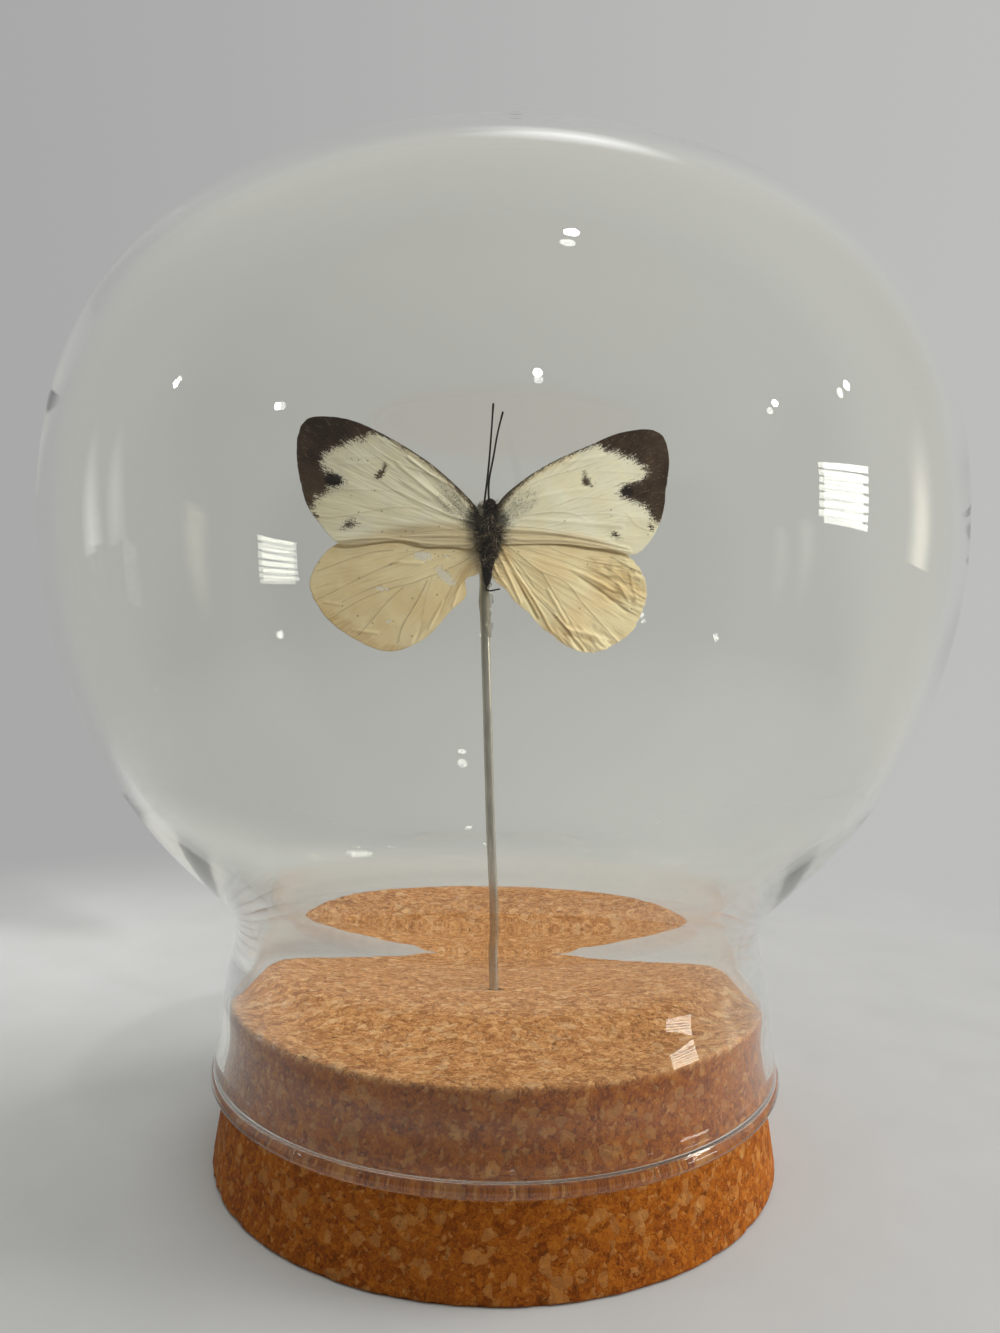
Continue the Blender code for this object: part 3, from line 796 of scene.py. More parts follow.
def strand_arrays(roots, directions, lengths, radii, droop):
    """Many tapered hairs at once: each a bent line of three-sided rings that narrows to a tip.

    roots, directions: one row per hair; the hair leaves along its direction and bends towards
    droop by the square of the way along it.
    """
    way = np.linspace(0, 1, HAIR_KNOTS)
    line = (roots[:, None] + directions[:, None] * (lengths[:, None] * way)[..., None]
            + droop[:, None] * (lengths[:, None] * way**2)[..., None])
    helper = np.where(abs(directions[:, :1]) < 0.7, [[1.0, 0, 0]], [[0, 1.0, 0]])
    across = np.cross(directions, helper)
    across /= np.linalg.norm(across, axis=1)[:, None]
    other = np.cross(directions, across)
    angle = np.linspace(0, 2 * np.pi, HAIR_SIDES, endpoint=False)
    circle = (np.cos(angle)[None, :, None] * across[:, None]
              + np.sin(angle)[None, :, None] * other[:, None])
    thin = (radii[:, None] * (1 - way**2 * 0.96))[..., None, None]
    points = line[:, :, None] + thin * circle[:, None]
    first = (np.arange(len(roots)) * HAIR_KNOTS * HAIR_SIDES)[:, None, None]
    quads = grid_quads(HAIR_KNOTS, HAIR_SIDES)[None] + first
    root_cap = np.array([[0, 2, 1]])
    tip_cap = np.array([[0, 1, 2]]) + (HAIR_KNOTS - 1) * HAIR_SIDES
    caps = np.vstack([root_cap, tip_cap])[None] + first
    return points.reshape(-1, 3), quads.reshape(-1, 4), caps.reshape(-1, 3)


def build_body_hair(dark, brown, pale):
    """Hair in tufts over thorax, head and upper abdomen: out from the skin, leaning as a slow
    noise leans, and longest on the thorax."""
    for name, count, material, seed, long_, thick_ in (
            ("fur_dark", 1700, dark, 4, 1.0, 0.038), ("fur_brown", 950, brown, 6, 1.2, 0.034),
            ("fur_pale", 300, pale, 9, 1.35, 0.030)):
        rng = np.random.default_rng(seed)
        height = rng.triangular(79.6, 84.2, 89.5, count)
        angle = rng.uniform(0, 2 * np.pi, count)
        outline = np.array(BODY_OUTLINE)
        radius = np.interp(height, outline[:, 1], outline[:, 0]) * 0.92
        out = np.stack([np.cos(angle), np.sin(angle), np.zeros(count)], axis=1)
        roots = body_axis(height) + out * radius[:, None]
        tuft = np.stack([soft_noise(roots * 0.9, 40 + k) for k in range(3)], axis=1)
        lean = tuft * 1.1 + rng.normal(0, 0.28, (count, 3)) + np.array([0.0, 0.0, -0.25])
        direction = out * 0.62 + lean
        direction /= np.linalg.norm(direction, axis=1)[:, None]
        droop = rng.normal(0, 0.25, (count, 3)) + np.array([0, 0, -0.3])
        length = rng.uniform(0.35, 1.0, count) * long_ * np.interp(
            height, [79.6, 81.5, 83, 86, 87.3, 88.4, 89.5], [0.4, 0.7, 1.0, 1.0, 0.7, 0.5, 0.3])
        thick = rng.uniform(0.55, 1.2, count) * thick_
        points, quads, caps = strand_arrays(roots, direction, length, thick, droop)
        mesh_piece(name, points, quads, caps, material)


def build_root_hair(dark, brown, pale):
    """Hair combed out sideways over the wing roots, thinner farther from the body."""
    for name, count, material, side, high, low, reach, seed in (
            ("root_hair_r", 380, dark, 1, 5.0, -0.6, 2.9, 21),
            ("root_hair_l", 200, dark, -1, 4.4, -0.4, 1.8, 22),
            ("root_down_r", 120, brown, 1, 1.0, -5.6, 2.6, 23),
            ("root_down_l", 130, pale, -1, 1.0, -5.0, 2.4, 24)):
        rng = np.random.default_rng(seed)
        up = rng.uniform(low, high, count)
        out = 0.5 + np.abs(rng.normal(0, 0.42, count)) * reach * (1 - 0.4 * np.abs(up) / 6)
        sweep = LEFT_SWEEP if side < 0 else RIGHT_SWEEP
        frontward = -0.25 - rng.uniform(0, 0.5, count)
        roots = WING_HINGE + np.stack([side * out * math.cos(sweep),
                                       out * math.sin(sweep) + frontward, up], axis=1)
        direction = np.stack([side * np.ones(count), rng.normal(-0.15, 0.2, count),
                              up * 0.14 + rng.normal(0, 0.35, count)], axis=1)
        direction /= np.linalg.norm(direction, axis=1)[:, None]
        droop = rng.normal(0, 0.2, (count, 3))
        length = rng.uniform(0.3, 1.3, count)
        points, quads, caps = strand_arrays(roots, direction, length,
                                            rng.uniform(0.014, 0.034, count), droop)
        mesh_piece(name, points, quads, caps, material)


# ---------------------------------------------------------------- wings
# Every place on a wing is (outward from the hinge, up from the hinge) in the wing's own plane.
# side: -1 left, 1 right; sweep: the turn backwards; lift: how far behind the hinge; pivot: where
# the rays start; torn: how ragged the rim is; veins: (darkness, raised height, line); folds:
# (height, half width, line); tip and spots: closed dark outlines; costa: where the dark front
# rim widens; pale_tip: the height under which the tip is browner; smudges, blot, warm and worn:
# ovals (out, up, long, short, tilt); behind: the wing whose colour is painted on, as if seen
# through.
WINGS = {
    "forewing_left": dict(
        side=-1, sweep=LEFT_SWEEP, lift=0.0, pivot=(3.0, 2.2), torn=0.05,
        outline=[(1.0, 3.6), (2.9, 6.1), (4.9, 8.0), (7.8, 10.4), (11.0, 12.5), (14.7, 14.5),
                 (18.1, 16.0), (20.8, 16.7), (23.6, 16.85), (25.6, 16.4), (26.5, 15.2),
                 (26.9, 12.1), (26.7, 9.8), (26.2, 7.4), (25.6, 5.3), (24.7, 3.6), (23.0, 1.4),
                 (20.9, -0.8), (16.2, -0.9), (13.0, -0.5), (10.5, -0.6), (8.6, -1.2),
                 (4.8, -1.2), (0.9, -1.2)],
        veins=[(0.55, 0.05, [(1.6, 3.9), (4.0, 6.6), (7.6, 8.8), (12.0, 10.3), (17.0, 13.4)]),
               (0.35, 0.04, [(5.0, 8.0), (9.2, 10.8), (12.8, 12.7), (15.0, 13.8)]),
               (0.35, 0.03, [(7.6, 8.8), (11.0, 11.0), (14.6, 13.4)]),
               (0.30, 0.03, [(14.3, 10.4), (18.0, 10.3), (23.2, 10.3)]),
               (0.25, 0.03, [(13.6, 11.3), (18.0, 11.2), (22.6, 11.1)]),
               (0.45, 0.05, [(1.8, 2.3), (5.0, 3.0), (8.8, 4.4), (12.0, 6.2), (14.6, 7.9)]),
               (0.40, 0.03, [(12.6, 6.6), (16.5, 6.7), (20.5, 6.7), (23.4, 6.3)]),
               (0.45, 0.04, [(7.4, 3.9), (12.0, 4.3), (16.5, 3.7), (20.0, 3.0), (24.2, 3.0)]),
               (0.25, 0.02, [(14.6, 7.9), (15.6, 8.6), (14.3, 10.4)]),
               (0.30, 0.03, [(1.8, 1.4), (8.0, 1.0), (14.0, -0.1), (20.6, -0.5)])],
        folds=[(0.16, 0.30, [(5.2, 4.4), (8.6, 7.2), (12.3, 10.2)]),
               (-0.10, 0.40, [(4.0, 4.0), (7.0, 7.2), (9.0, 8.8)]),
               (0.13, 0.22, [(2.4, 2.4), (5.4, 3.4), (8.4, 4.6), (12.4, 6.7)]),
               (0.14, 0.22, [(5.6, 7.6), (7.8, 8.9), (11.0, 11.3)]),
               (0.10, 0.30, [(8.0, 5.6), (11.6, 7.9)]),
               (0.10, 0.25, [(1.8, 0.4), (6.0, 0.3), (11.6, 0.2)]),
               (0.12, 0.20, [(2.0, -0.8), (8.6, -0.8), (13.0, -0.2), (20.4, -0.6)])],
        tip=[(14.0, 16.0), (14.4, 14.4), (15.6, 14.35), (16.6, 14.3), (17.4, 13.5),
             (18.1, 14.0), (19.2, 13.3), (20.8, 12.7), (22.0, 12.3), (23.0, 11.4),
             (23.4, 10.4), (22.9, 9.7), (21.9, 9.3), (20.6, 8.6), (20.0, 8.0), (20.6, 7.3),
             (22.2, 6.9), (22.8, 6.2), (23.9, 5.8), (24.2, 4.9), (24.8, 4.1), (28.0, 4.5),
             (28.5, 18.5), (20.0, 19.0)],
        spots=[[(14.2, 10.4), (14.55, 10.1), (14.9, 9.4), (15.6, 8.75), (15.5, 8.35),
                (14.9, 8.4), (14.2, 9.2), (14.05, 10.0)]],
        smudges=[(19.1, 1.9, 1.5, 0.8, -0.35), (24.1, 3.2, 0.9, 0.45, 0.8)],
        blot=(21.5, 8.2, 1.5, 1.05, 0.1), pale_tip=9.8, costa=13.5,
        behind="hindwing_left", warm=[], worn=[]),
    "forewing_right": dict(
        side=1, sweep=RIGHT_SWEEP, lift=0.0, pivot=(3.0, 2.4), torn=0.05,
        outline=[(1.0, 4.1), (3.8, 7.5), (7.6, 10.3), (11.6, 12.5), (15.3, 14.25),
                 (18.5, 15.8), (22.0, 16.8), (24.9, 17.0), (26.4, 16.3), (27.2, 14.6),
                 (27.5, 12.3), (27.2, 9.4), (26.9, 6.3), (26.3, 3.9), (25.3, 1.9),
                 (24.1, 0.3), (21.8, -1.3), (19.8, -0.95), (16.0, -0.6), (12.0, -0.3),
                 (8.0, -0.35), (3.6, -0.6), (0.8, -0.2)],
        veins=[(0.45, 0.05, [(1.6, 4.6), (5.6, 7.6), (9.0, 9.2), (12.5, 10.3), (16.0, 11.6)]),
               (0.30, 0.03, [(9.0, 9.2), (13.4, 12.0), (15.6, 13.8)]),
               (0.22, 0.03, [(14.2, 10.0), (19.0, 10.3), (23.0, 10.3)]),
               (0.40, 0.05, [(1.8, 2.6), (5.4, 3.5), (9.0, 4.1), (13.2, 3.8), (14.2, 3.3)]),
               (0.25, 0.03, [(9.0, 4.1), (11.8, 6.0), (16.0, 6.4), (21.0, 6.4)]),
               (0.25, 0.03, [(13.2, 3.9), (17.0, 4.3), (21.6, 4.0)]),
               (0.55, 0.04, [(20.4, 4.7), (22.3, 3.0), (24.2, 2.3)]),
               (0.45, 0.04, [(1.6, 1.9), (8.0, 1.8), (13.0, 1.1), (18.0, 0.4)]),
               (0.60, 0.03, [(1.0, 0.6), (4.6, 0.75), (8.6, 0.95), (12.6, 0.8)])],
        folds=[(0.14, 0.25, [(2.0, 1.4), (7.0, 1.4), (14.0, 0.7), (21.0, -0.4)]),
               (0.12, 0.22, [(1.6, 0.1), (8.0, 0.2), (15.0, 0.0), (21.4, -0.9)]),
               (-0.09, 0.20, [(2.0, 0.75), (8.4, 0.9), (14.0, 0.4), (21.0, -0.7)]),
               (0.10, 0.30, [(4.0, 5.0), (9.0, 6.6), (14.0, 7.6)]),
               (0.10, 0.35, [(5.0, 3.0), (12.0, 2.9), (20.0, 2.6)]),
               (0.10, 0.30, [(11.0, 11.2), (17.5, 12.6)])],
        tip=[(15.2, 15.6), (15.7, 14.2), (16.5, 13.6), (17.1, 13.0), (18.0, 13.4),
             (19.0, 13.3), (20.0, 12.7), (21.5, 12.3), (22.5, 11.6), (23.5, 11.2),
             (23.9, 10.6), (23.5, 10.1), (22.5, 9.4), (21.4, 9.0), (19.9, 8.4), (19.4, 7.6),
             (19.8, 6.9), (21.0, 6.6), (22.0, 6.3), (23.5, 5.9), (24.2, 5.0), (24.6, 4.1),
             (25.4, 3.7), (28.5, 3.4), (29.5, 18.5), (20.0, 19.0)],
        spots=[[(13.85, 10.0), (14.15, 9.95), (14.5, 9.1), (15.2, 8.05), (14.1, 8.2),
                (13.65, 8.5)]],
        smudges=[(19.0, 1.4, 1.1, 0.7, -0.3), (24.8, 2.7, 0.9, 0.5, -0.9)],
        blot=(20.6, 7.6, 1.2, 0.8, 0.0), pale_tip=-20.0, costa=12.6,
        behind="hindwing_right", warm=[], worn=[]),
    "hindwing_left": dict(
        side=-1, sweep=LEFT_SWEEP, lift=0.45, pivot=(3.6, -1.4), torn=0.05,
        outline=[(0.8, 1.5), (5.0, 2.2), (10.0, 2.1), (14.0, 1.2), (19.5, -0.3), (22.0, -1.6),
                 (24.1, -4.2), (24.8, -5.7), (24.95, -7.0), (24.3, -8.9), (22.8, -11.0),
                 (20.4, -13.0), (17.9, -14.4), (15.6, -15.4), (13.2, -15.8), (10.8, -15.3),
                 (8.4, -14.0), (6.0, -11.6), (4.1, -9.5), (2.8, -8.1), (2.75, -7.2),
                 (3.0, -6.3), (2.5, -5.5), (1.3, -5.1), (0.7, -3.2)],
        veins=[(0.75, 0.04, [(1.5, -2.2), (4.0, -3.7), (7.4, -5.3), (10.2, -6.5)]),
               (0.95, 0.05, [(8.1, -6.0), (9.0, -8.0), (10.3, -10.3), (11.6, -12.6),
                             (12.1, -14.6)]),
               (0.60, 0.03, [(13.0, -1.8), (16.0, -2.2), (20.0, -3.5), (23.8, -4.9)]),
               (0.60, 0.03, [(12.0, -3.4), (14.0, -4.2), (18.0, -6.1), (23.9, -9.0)]),
               (0.65, 0.04, [(10.2, -6.5), (13.0, -7.2), (18.0, -9.2), (22.2, -11.8)]),
               (0.45, 0.03, [(10.4, -5.6), (15.6, -7.1), (20.3, -9.3)]),
               (0.70, 0.04, [(11.4, -7.0), (14.0, -9.5), (16.0, -11.8), (17.7, -13.6)]),
               (0.40, 0.03, [(3.4, -4.2), (4.8, -7.0), (6.2, -10.6)]),
               (0.50, 0.03, [(1.6, -1.0), (6.0, -1.2), (11.0, -2.6), (14.0, -4.2)]),
               (0.30, 0.03, [(7.4, -5.3), (8.4, -9.0), (9.0, -13.4)])],
        folds=[(0.13, 0.20, [(6.0, -9.0), (7.8, -12.6)]), (0.12, 0.2, [(3.6, -6.6), (4.6, -9.6)]),
               (0.12, 0.25, [(9.0, -3.7), (13.0, -3.6)]), (0.12, 0.2, [(15.0, -13.4), (18.6, -13.0)]),
               (-0.10, 0.25, [(8.8, -12.0), (9.8, -14.6)]), (0.10, 0.2, [(20.4, -9.6), (22.6, -9.3)])],
        smudges=[], spots=[], behind=None,
        warm=[(18.5, -13.6, 7.5, 1.6, 0.55), (3.0, -5.0, 2.6, 0.8, -1.1),
              (13.0, -15.6, 3.0, 0.9, 0.0)],
        worn=[(8.7, -2.6, 1.7, 0.85, 0.1), (5.7, -5.4, 2.1, 0.85, -2.35),
              (14.6, -7.3, 1.5, 0.35, 0.15), (13.4, -11.8, 0.9, 0.3, 0.0),
              (5.4, -2.6, 1.0, 0.3, 0.2)]),
    "hindwing_right": dict(
        side=1, sweep=RIGHT_SWEEP, lift=0.45, pivot=(3.6, -1.6), torn=0.17,
        outline=[(0.7, 0.8), (8.0, 1.6), (15.0, 1.2), (20.0, -0.6), (22.0, -1.7), (23.2, -3.0),
                 (24.1, -4.4), (24.6, -6.0), (24.4, -7.6), (23.8, -9.4), (22.6, -11.8),
                 (20.2, -13.9), (18.2, -15.0), (16.0, -15.7), (14.0, -15.6), (12.0, -14.9),
                 (10.0, -13.6), (8.0, -12.2), (6.2, -10.3), (4.2, -8.7), (2.6, -6.8),
                 (1.3, -5.8), (0.7, -4.4), (0.5, -2.0)],
        veins=[(0.75, 0.05, [(2.4, -0.4), (5.0, -2.2), (8.0, -4.3), (11.7, -5.8), (13.2, -7.5),
                             (16.5, -10.9), (19.6, -13.9)]),
               (0.65, 0.05, [(8.0, -4.4), (9.2, -6.3), (12.0, -10.8), (14.0, -13.9),
                             (15.0, -15.2)]),
               (0.65, 0.05, [(2.2, -1.0), (4.0, -3.3), (7.5, -8.0), (11.5, -12.1),
                             (13.6, -14.9)]),
               (0.60, 0.04, [(2.0, -1.0), (4.6, -3.3), (7.0, -6.4)]),
               (0.80, 0.05, [(13.4, -4.6), (17.0, -6.6), (20.0, -8.6), (22.6, -9.9)]),
               (0.85, 0.05, [(17.5, -3.0), (20.0, -4.6), (22.4, -6.6), (24.2, -7.5)]),
               (0.70, 0.05, [(18.6, -1.7), (21.0, -2.8), (23.6, -3.8)]),
               (0.45, 0.04, [(8.6, -0.6), (12.0, -1.8), (16.0, -2.6), (20.0, -3.0)]),
               (0.45, 0.04, [(6.0, -1.2), (11.0, -2.6), (16.0, -4.4), (20.0, -6.4)]),
               (0.40, 0.04, [(14.8, -3.2), (18.0, -4.6), (21.8, -7.2)])],
        folds=[(0.15, 0.22, [(2.3, -1.2), (4.3, -4.5), (7.0, -8.5), (9.5, -12.8)]),
               (0.14, 0.20, [(2.0, -1.0), (3.2, -3.4), (5.4, -7.0), (7.6, -10.6)]),
               (-0.18, 0.20, [(2.2, -1.6), (4.6, -6.0), (7.4, -11.0)]),
               (0.14, 0.20, [(1.7, -1.0), (1.2, -2.6), (1.5, -4.4), (3.0, -6.6)]),
               (0.18, 0.22, [(1.8, -2.0), (3.4, -5.4), (5.0, -8.8)]),
               (0.22, 0.30, [(12.0, -12.4), (15.0, -13.0), (19.0, -14.0)]),
               (-0.16, 0.25, [(11.4, -13.2), (14.6, -13.8), (17.6, -14.8)]),
               (0.20, 0.25, [(10.0, -10.4), (12.6, -13.2), (14.4, -15.2)]),
               (0.16, 0.30, [(12.8, -4.0), (15.6, -5.0), (19.0, -6.8)]),
               (-0.16, 0.30, [(14.0, -5.2), (17.6, -7.2), (21.0, -9.4)]),
               (0.18, 0.22, [(19.6, -5.4), (21.4, -8.0)]), (0.18, 0.22, [(21.6, -4.0), (22.6, -7.4)]),
               (0.16, 0.25, [(9.0, -7.0), (11.6, -11.4)])],
        smudges=[], spots=[], behind=None,
        warm=[(19.2, -5.0, 6.4, 3.4, -0.42), (2.4, -1.6, 2.4, 1.2, -0.8),
              (7.4, -9.6, 7.5, 0.5, -0.98)],
        worn=[]),
}


def line_distance(places, line):
    """Least distance from each place to the straight runs of a line."""
    best = np.full(len(places), 99.0)
    for a, b in zip(line[:-1], line[1:]):
        run = b - a
        ahead = (places[:, 0] - a[0]) * run[0] + (places[:, 1] - a[1]) * run[1]
        part = np.clip(ahead / (run[0] ** 2 + run[1] ** 2), 0, 1)
        best = np.minimum(best, np.linalg.norm(places - a - part[:, None] * run, axis=1))
    return best


def curve_distance(places, points):
    """Least distance from each place to a smooth line through the points."""
    return line_distance(places, spline(points, 6 * len(points)))


def inside(places, corners):
    """True for places inside a closed outline, by counting the sides that a ray crosses."""
    hit = np.zeros(len(places), bool)
    for (x1, y1), (x2, y2) in zip(corners, np.roll(corners, -1, axis=0)):
        spans = (y1 > places[:, 1]) != (y2 > places[:, 1])
        slope = (x2 - x1) / (y2 - y1 if y2 != y1 else 1e-9)
        hit ^= spans & (places[:, 0] < x1 + (places[:, 1] - y1) * slope)
    return hit


def depth_inside(places, corners):
    """Distance to a closed outline, positive inside it."""
    corners = np.array(corners, float)
    gap = line_distance(places, np.vstack([corners, corners[:1]]))
    return np.where(inside(places, corners), gap, -gap)


def oval(places, x, y, long_, short, tilt):
    """How deep inside a tilted oval each place lies: 1 at its middle, 0 on its edge."""
    c, s = math.cos(tilt), math.sin(tilt)
    dx, dy = places[:, 0] - x, places[:, 1] - y
    return 1 - np.hypot((dx * c + dy * s) / long_, (-dx * s + dy * c) / short)


def plane_noise(flat, scale, octaves, seed):
    """Rough noise over the wing's own plane."""
    place = np.stack([flat[:, 0], flat[:, 1], np.full(len(flat), seed * 3.1)], axis=1)
    return rough_noise(place * scale, octaves, seed)


def ray_noise(flat, turns, runs, seed):
    """Noise drawn out along the rays from the wing's root."""
    angle = np.degrees(np.arctan2(flat[:, 1], flat[:, 0] + 1.0))
    reach = np.hypot(flat[:, 0], flat[:, 1])
    place = np.stack([angle * turns, reach * runs, np.full(len(flat), seed * 2.3)], axis=1)
    return rough_noise(place, 3, seed)


def wing_relief(flat, spec, hind, seed):
    """Height of the membrane off its plane: raised veins, folds, fanned waves and crumples."""
    height = 0.08 * ray_noise(flat, 0.16, 0.10, seed) + 0.04 * ray_noise(flat, 0.5, 0.16, seed + 1)
    height += (0.16 if hind else 0.12) * plane_noise(flat, 0.16, 2, seed + 2)
    height *= ease(0.5, 8.0, np.hypot(flat[:, 0], flat[:, 1]))
    for _, raised, line in spec["veins"]:
        height += raised * np.exp(-(curve_distance(flat, line) / 0.14) ** 2)
    for raised, half_width, line in spec["folds"]:
        height += raised * np.exp(-(curve_distance(flat, line) / half_width) ** 2)
    if spec["torn"] > 0.1:
        crumpled = np.clip(0.25 + np.maximum(oval(flat, 21.0, -5.6, 6.5, 4.6, -0.5), oval(
            flat, 14.0, -14.6, 8.0, 3.0, 0.1)) * 1.4, 0, 1)
        height += crumpled * (0.24 * ray_noise(flat, 0.34, 0.30, seed + 4)
                              + 0.16 * plane_noise(flat, 0.8, 2, seed + 6)
                              + 0.09 * ray_noise(flat, 1.0, 0.45, seed + 8))
    return height * (ease(2.2, -1.5, flat[:, 1]) * 0.75 + 0.25 if hind else 1.0)


def wing_sheet(flat, depth, spec):
    """Stand the wing's plane up: out along the sweep, up, and depth backwards."""
    c, s = math.cos(spec["sweep"]), math.sin(spec["sweep"])
    return WING_HINGE + np.stack([spec["side"] * (flat[:, 0] * c - depth * s),
                                  flat[:, 0] * s + depth * c, flat[:, 1]], axis=1)


def wing_marks(flat, spec, hind):
    """The numbers that colour the wing, one per point for each name that the material reads."""
    zero = np.zeros(len(flat))
    base = np.hypot(flat[:, 0] - 0.6, flat[:, 1] - 1.2)
    out = {"vein": zero, "tip": zero - 9.0, "blot": zero - 1.0, "pale_tip": zero,
           "dust": 0.9 * np.exp(-base / 1.6), "warm": zero, "under": zero,
           "worn": zero - 1.0}
    for dark, _, line in spec["veins"]:
        near = np.exp(-(curve_distance(flat, line) / 0.066) ** 2)
        out["vein"] = np.maximum(out["vein"], dark * near)
    rim = spline(spec["outline"], 160, closed=True)
    out["edge"] = line_distance(flat, np.vstack([rim, rim[:1]]))
    for patch in spec["warm"]:
        out["warm"] = np.maximum(out["warm"], np.clip(oval(flat, *patch) * 2.2, 0, 1))
    for patch in spec["worn"]:
        out["worn"] = np.maximum(out["worn"], oval(flat, *patch))
    if not hind:
        tip = depth_inside(flat, spec["tip"])
        leading = line_distance(flat, spline([(0.8, 3.6)] + spec["outline"][1:8], 60))
        band = np.interp(flat[:, 0], [1, 4, 8, spec["costa"], 18], [0.5, 0.46, 0.2, 0.3, 0.6])
        tip = np.maximum(tip, (band - leading) * 1.6)
        for shape in spec["spots"]:
            tip = np.maximum(tip, depth_inside(flat, shape) * 2.0)
        for smudge in spec["smudges"]:
            tip = np.maximum(tip, oval(flat, *smudge) - 0.46)
        out["tip"] = tip
        out["blot"] = oval(flat, *spec["blot"])
        out["pale_tip"] = ease(spec["pale_tip"] + 2.0, spec["pale_tip"] - 2.0, flat[:, 1])
        near_root = ease(15.0, 3.0, flat[:, 0])
        out["dust"] = np.maximum.reduce([
            1.15 * np.exp(-(np.hypot(flat[:, 0] - 1.4, flat[:, 1] - 2.6) / 2.3) ** 2),
            0.75 * near_root * np.exp(-leading / 1.1),
            0.55 * near_root * np.clip(oval(flat, 5.0, 5.2, 4.6, 2.4, 0.75) * 2, 0, 1)])
        out["warm"] = np.maximum(0.85 * np.exp(-((leading - 0.45) / 0.4) ** 2)
                                 * ease(14.0, 11.0, flat[:, 0]), 0)
        # Painted see-through light: marks where the hindwing lies behind the forewing, for the material
        # to paint its colour on.
        hidden = spline(WINGS[spec["behind"]]["outline"], 80, True)
        out["under"] = ease(-0.5, 0.9, depth_inside(flat, hidden))
    return out


def build_wing(name, material):
    """A wing: rings that shrink from its outline to a point near its root, arched and swept.

    A point at share s of the way out on ray t is pivot + s (outline(t) - pivot). Its height off
    the plane adds the arch, a sine of the distance out, to the relief of veins, folds and
    crumples. The second face lies a membrane's thickness behind the first, on fewer rings.
    """
    spec = WINGS[name]
    hind = "hind" in name
    seed = 3 + 10 * hind + (5 if spec["side"] > 0 else 0)
    pivot = np.array(spec["pivot"])
    rim = spline(spec["outline"], WING_RAYS, closed=True)
    outward = rim - pivot
    outward /= np.linalg.norm(outward, axis=1)[:, None]
    ragged = np.abs(plane_noise(rim, 1.1, 3, seed)) + 0.4 * np.abs(plane_noise(rim, 3.4, 2, seed))
    rim = rim - outward * (spec["torn"] * ease(8.0, 14.0, np.hypot(*rim.T)) * ragged * 2)[:, None]
    faces, caps, sheets, starts = [], [], [], []
    flats = []
    j = np.arange(WING_RAYS)
    n = (j + 1) % WING_RAYS
    start = 0
    for rows, back in ((WING_ROWS, False), (WING_ROWS // 2, True)):
        share = 1 - (1 - np.linspace(0, 1, rows + 1)[1:]) ** 1.15
        flat = (pivot + share[:, None, None] * (rim - pivot)[None]).reshape(-1, 2)
        flat = np.vstack([flat, pivot])
        reach = rim[:, 0].max()
        arch = -WING_ARCH * np.sin(np.pi * np.clip(flat[:, 0] / reach, 0, 1))
        depth = arch + spec["lift"] - wing_relief(flat, spec, hind, seed)
        sheets.append(wing_sheet(flat, depth + WING_SHEET * back, spec))
        flats.append(flat)
        flip = back == (spec["side"] > 0)
        quads = grid_quads(rows, WING_RAYS, start=start)
        fan = np.stack([np.full(WING_RAYS, start + len(flat) - 1), n + start, j + start], axis=1)
        faces.append(quads[:, ::-1] if flip else quads)
        caps.append(fan[:, ::-1] if flip else fan)
        starts.append(start + (rows - 1) * WING_RAYS)
        start += len(flat)
    band = np.stack([starts[0] + j, starts[0] + n, starts[1] + n, starts[1] + j], axis=1)
    faces.append(band if spec["side"] > 0 else band[:, ::-1])
    wing = mesh_piece(name.replace("_left", "_l").replace("_right", "_r"), np.vstack(sheets),
                      np.vstack(faces), np.vstack(caps), material,
                      (name,))
    flat = np.vstack(flats)
    for label, values in wing_marks(flat, spec, hind).items():
        set_value(wing, label, values)
    angle = np.degrees(np.arctan2(flat[:, 1], flat[:, 0] + 1.0))
    set_vector(wing, "fan", np.stack([angle * 1.25, np.hypot(flat[:, 0], flat[:, 1]) * 0.32,
                                      np.full(len(flat), float(seed))], axis=1))
    return wing


# ---------------------------------------------------------------- stage
CAMERA_PLACE = (-0.000145, -0.14187, 0.06853)
CAMERA_LENS = 27.03
CAMERA_PITCH = 0.0146
CAMERA_ROLL = 0.0153
LIGHT_TARGET = (0.0, 0.0, 0.085)
LIGHT_DISTANCE = 1.3
BUTTERFLY = (-0.0023, -0.0029, 0.084)
FLOOR_PALE_TO = 120.0
FLOOR_FAR_FROM = 240.0
FRONT_DIM = 0.13
LONGEST_PATH = 96  # light runs a long way inside the drawn-in neck before it comes out
SEEN_WITHIN = 9.0  # a lamp's picture is gone after this many passes through or along the glass


def toward(azimuth, elevation):
    """Unit direction: azimuth 0 is in front of the display, 90 to the viewer's right."""
    a, e = math.radians(azimuth), math.radians(elevation)
    return np.array([math.sin(a) * math.cos(e), -math.cos(a) * math.cos(e), math.sin(e)])


def along(n, direction, axis):
    """How far a direction goes along an axis, from -1 to 1."""
    node = n.add("ShaderNodeVectorMath", operation="DOT_PRODUCT")
    n.wire(direction, node.inputs[0])
    node.inputs[1].default_value = tuple(axis)
    return node.outputs["Value"]


def glow(n, direction, azimuth, elevation, wide, high):
    """1 in a direction, fading to 0 at an oval edge given by its half angles."""
    ahead = toward(azimuth, elevation)
    right = toward(azimuth + 90, 0)
    up = np.cross(right, ahead)
    x = n.math("DIVIDE", along(n, direction, right), math.tan(math.radians(wide)))
    y = n.math("DIVIDE", along(n, direction, up), math.tan(math.radians(high)))
    away = n.math("SQRT", n.math("MULTIPLY_ADD", x, x, n.math("MULTIPLY", y, y)))
    front = n.between(along(n, direction, ahead), 0.0, 0.4)
    return n.math("MULTIPLY", n.between(away, 0.15, 1.0, 1.0, 0.0), front)


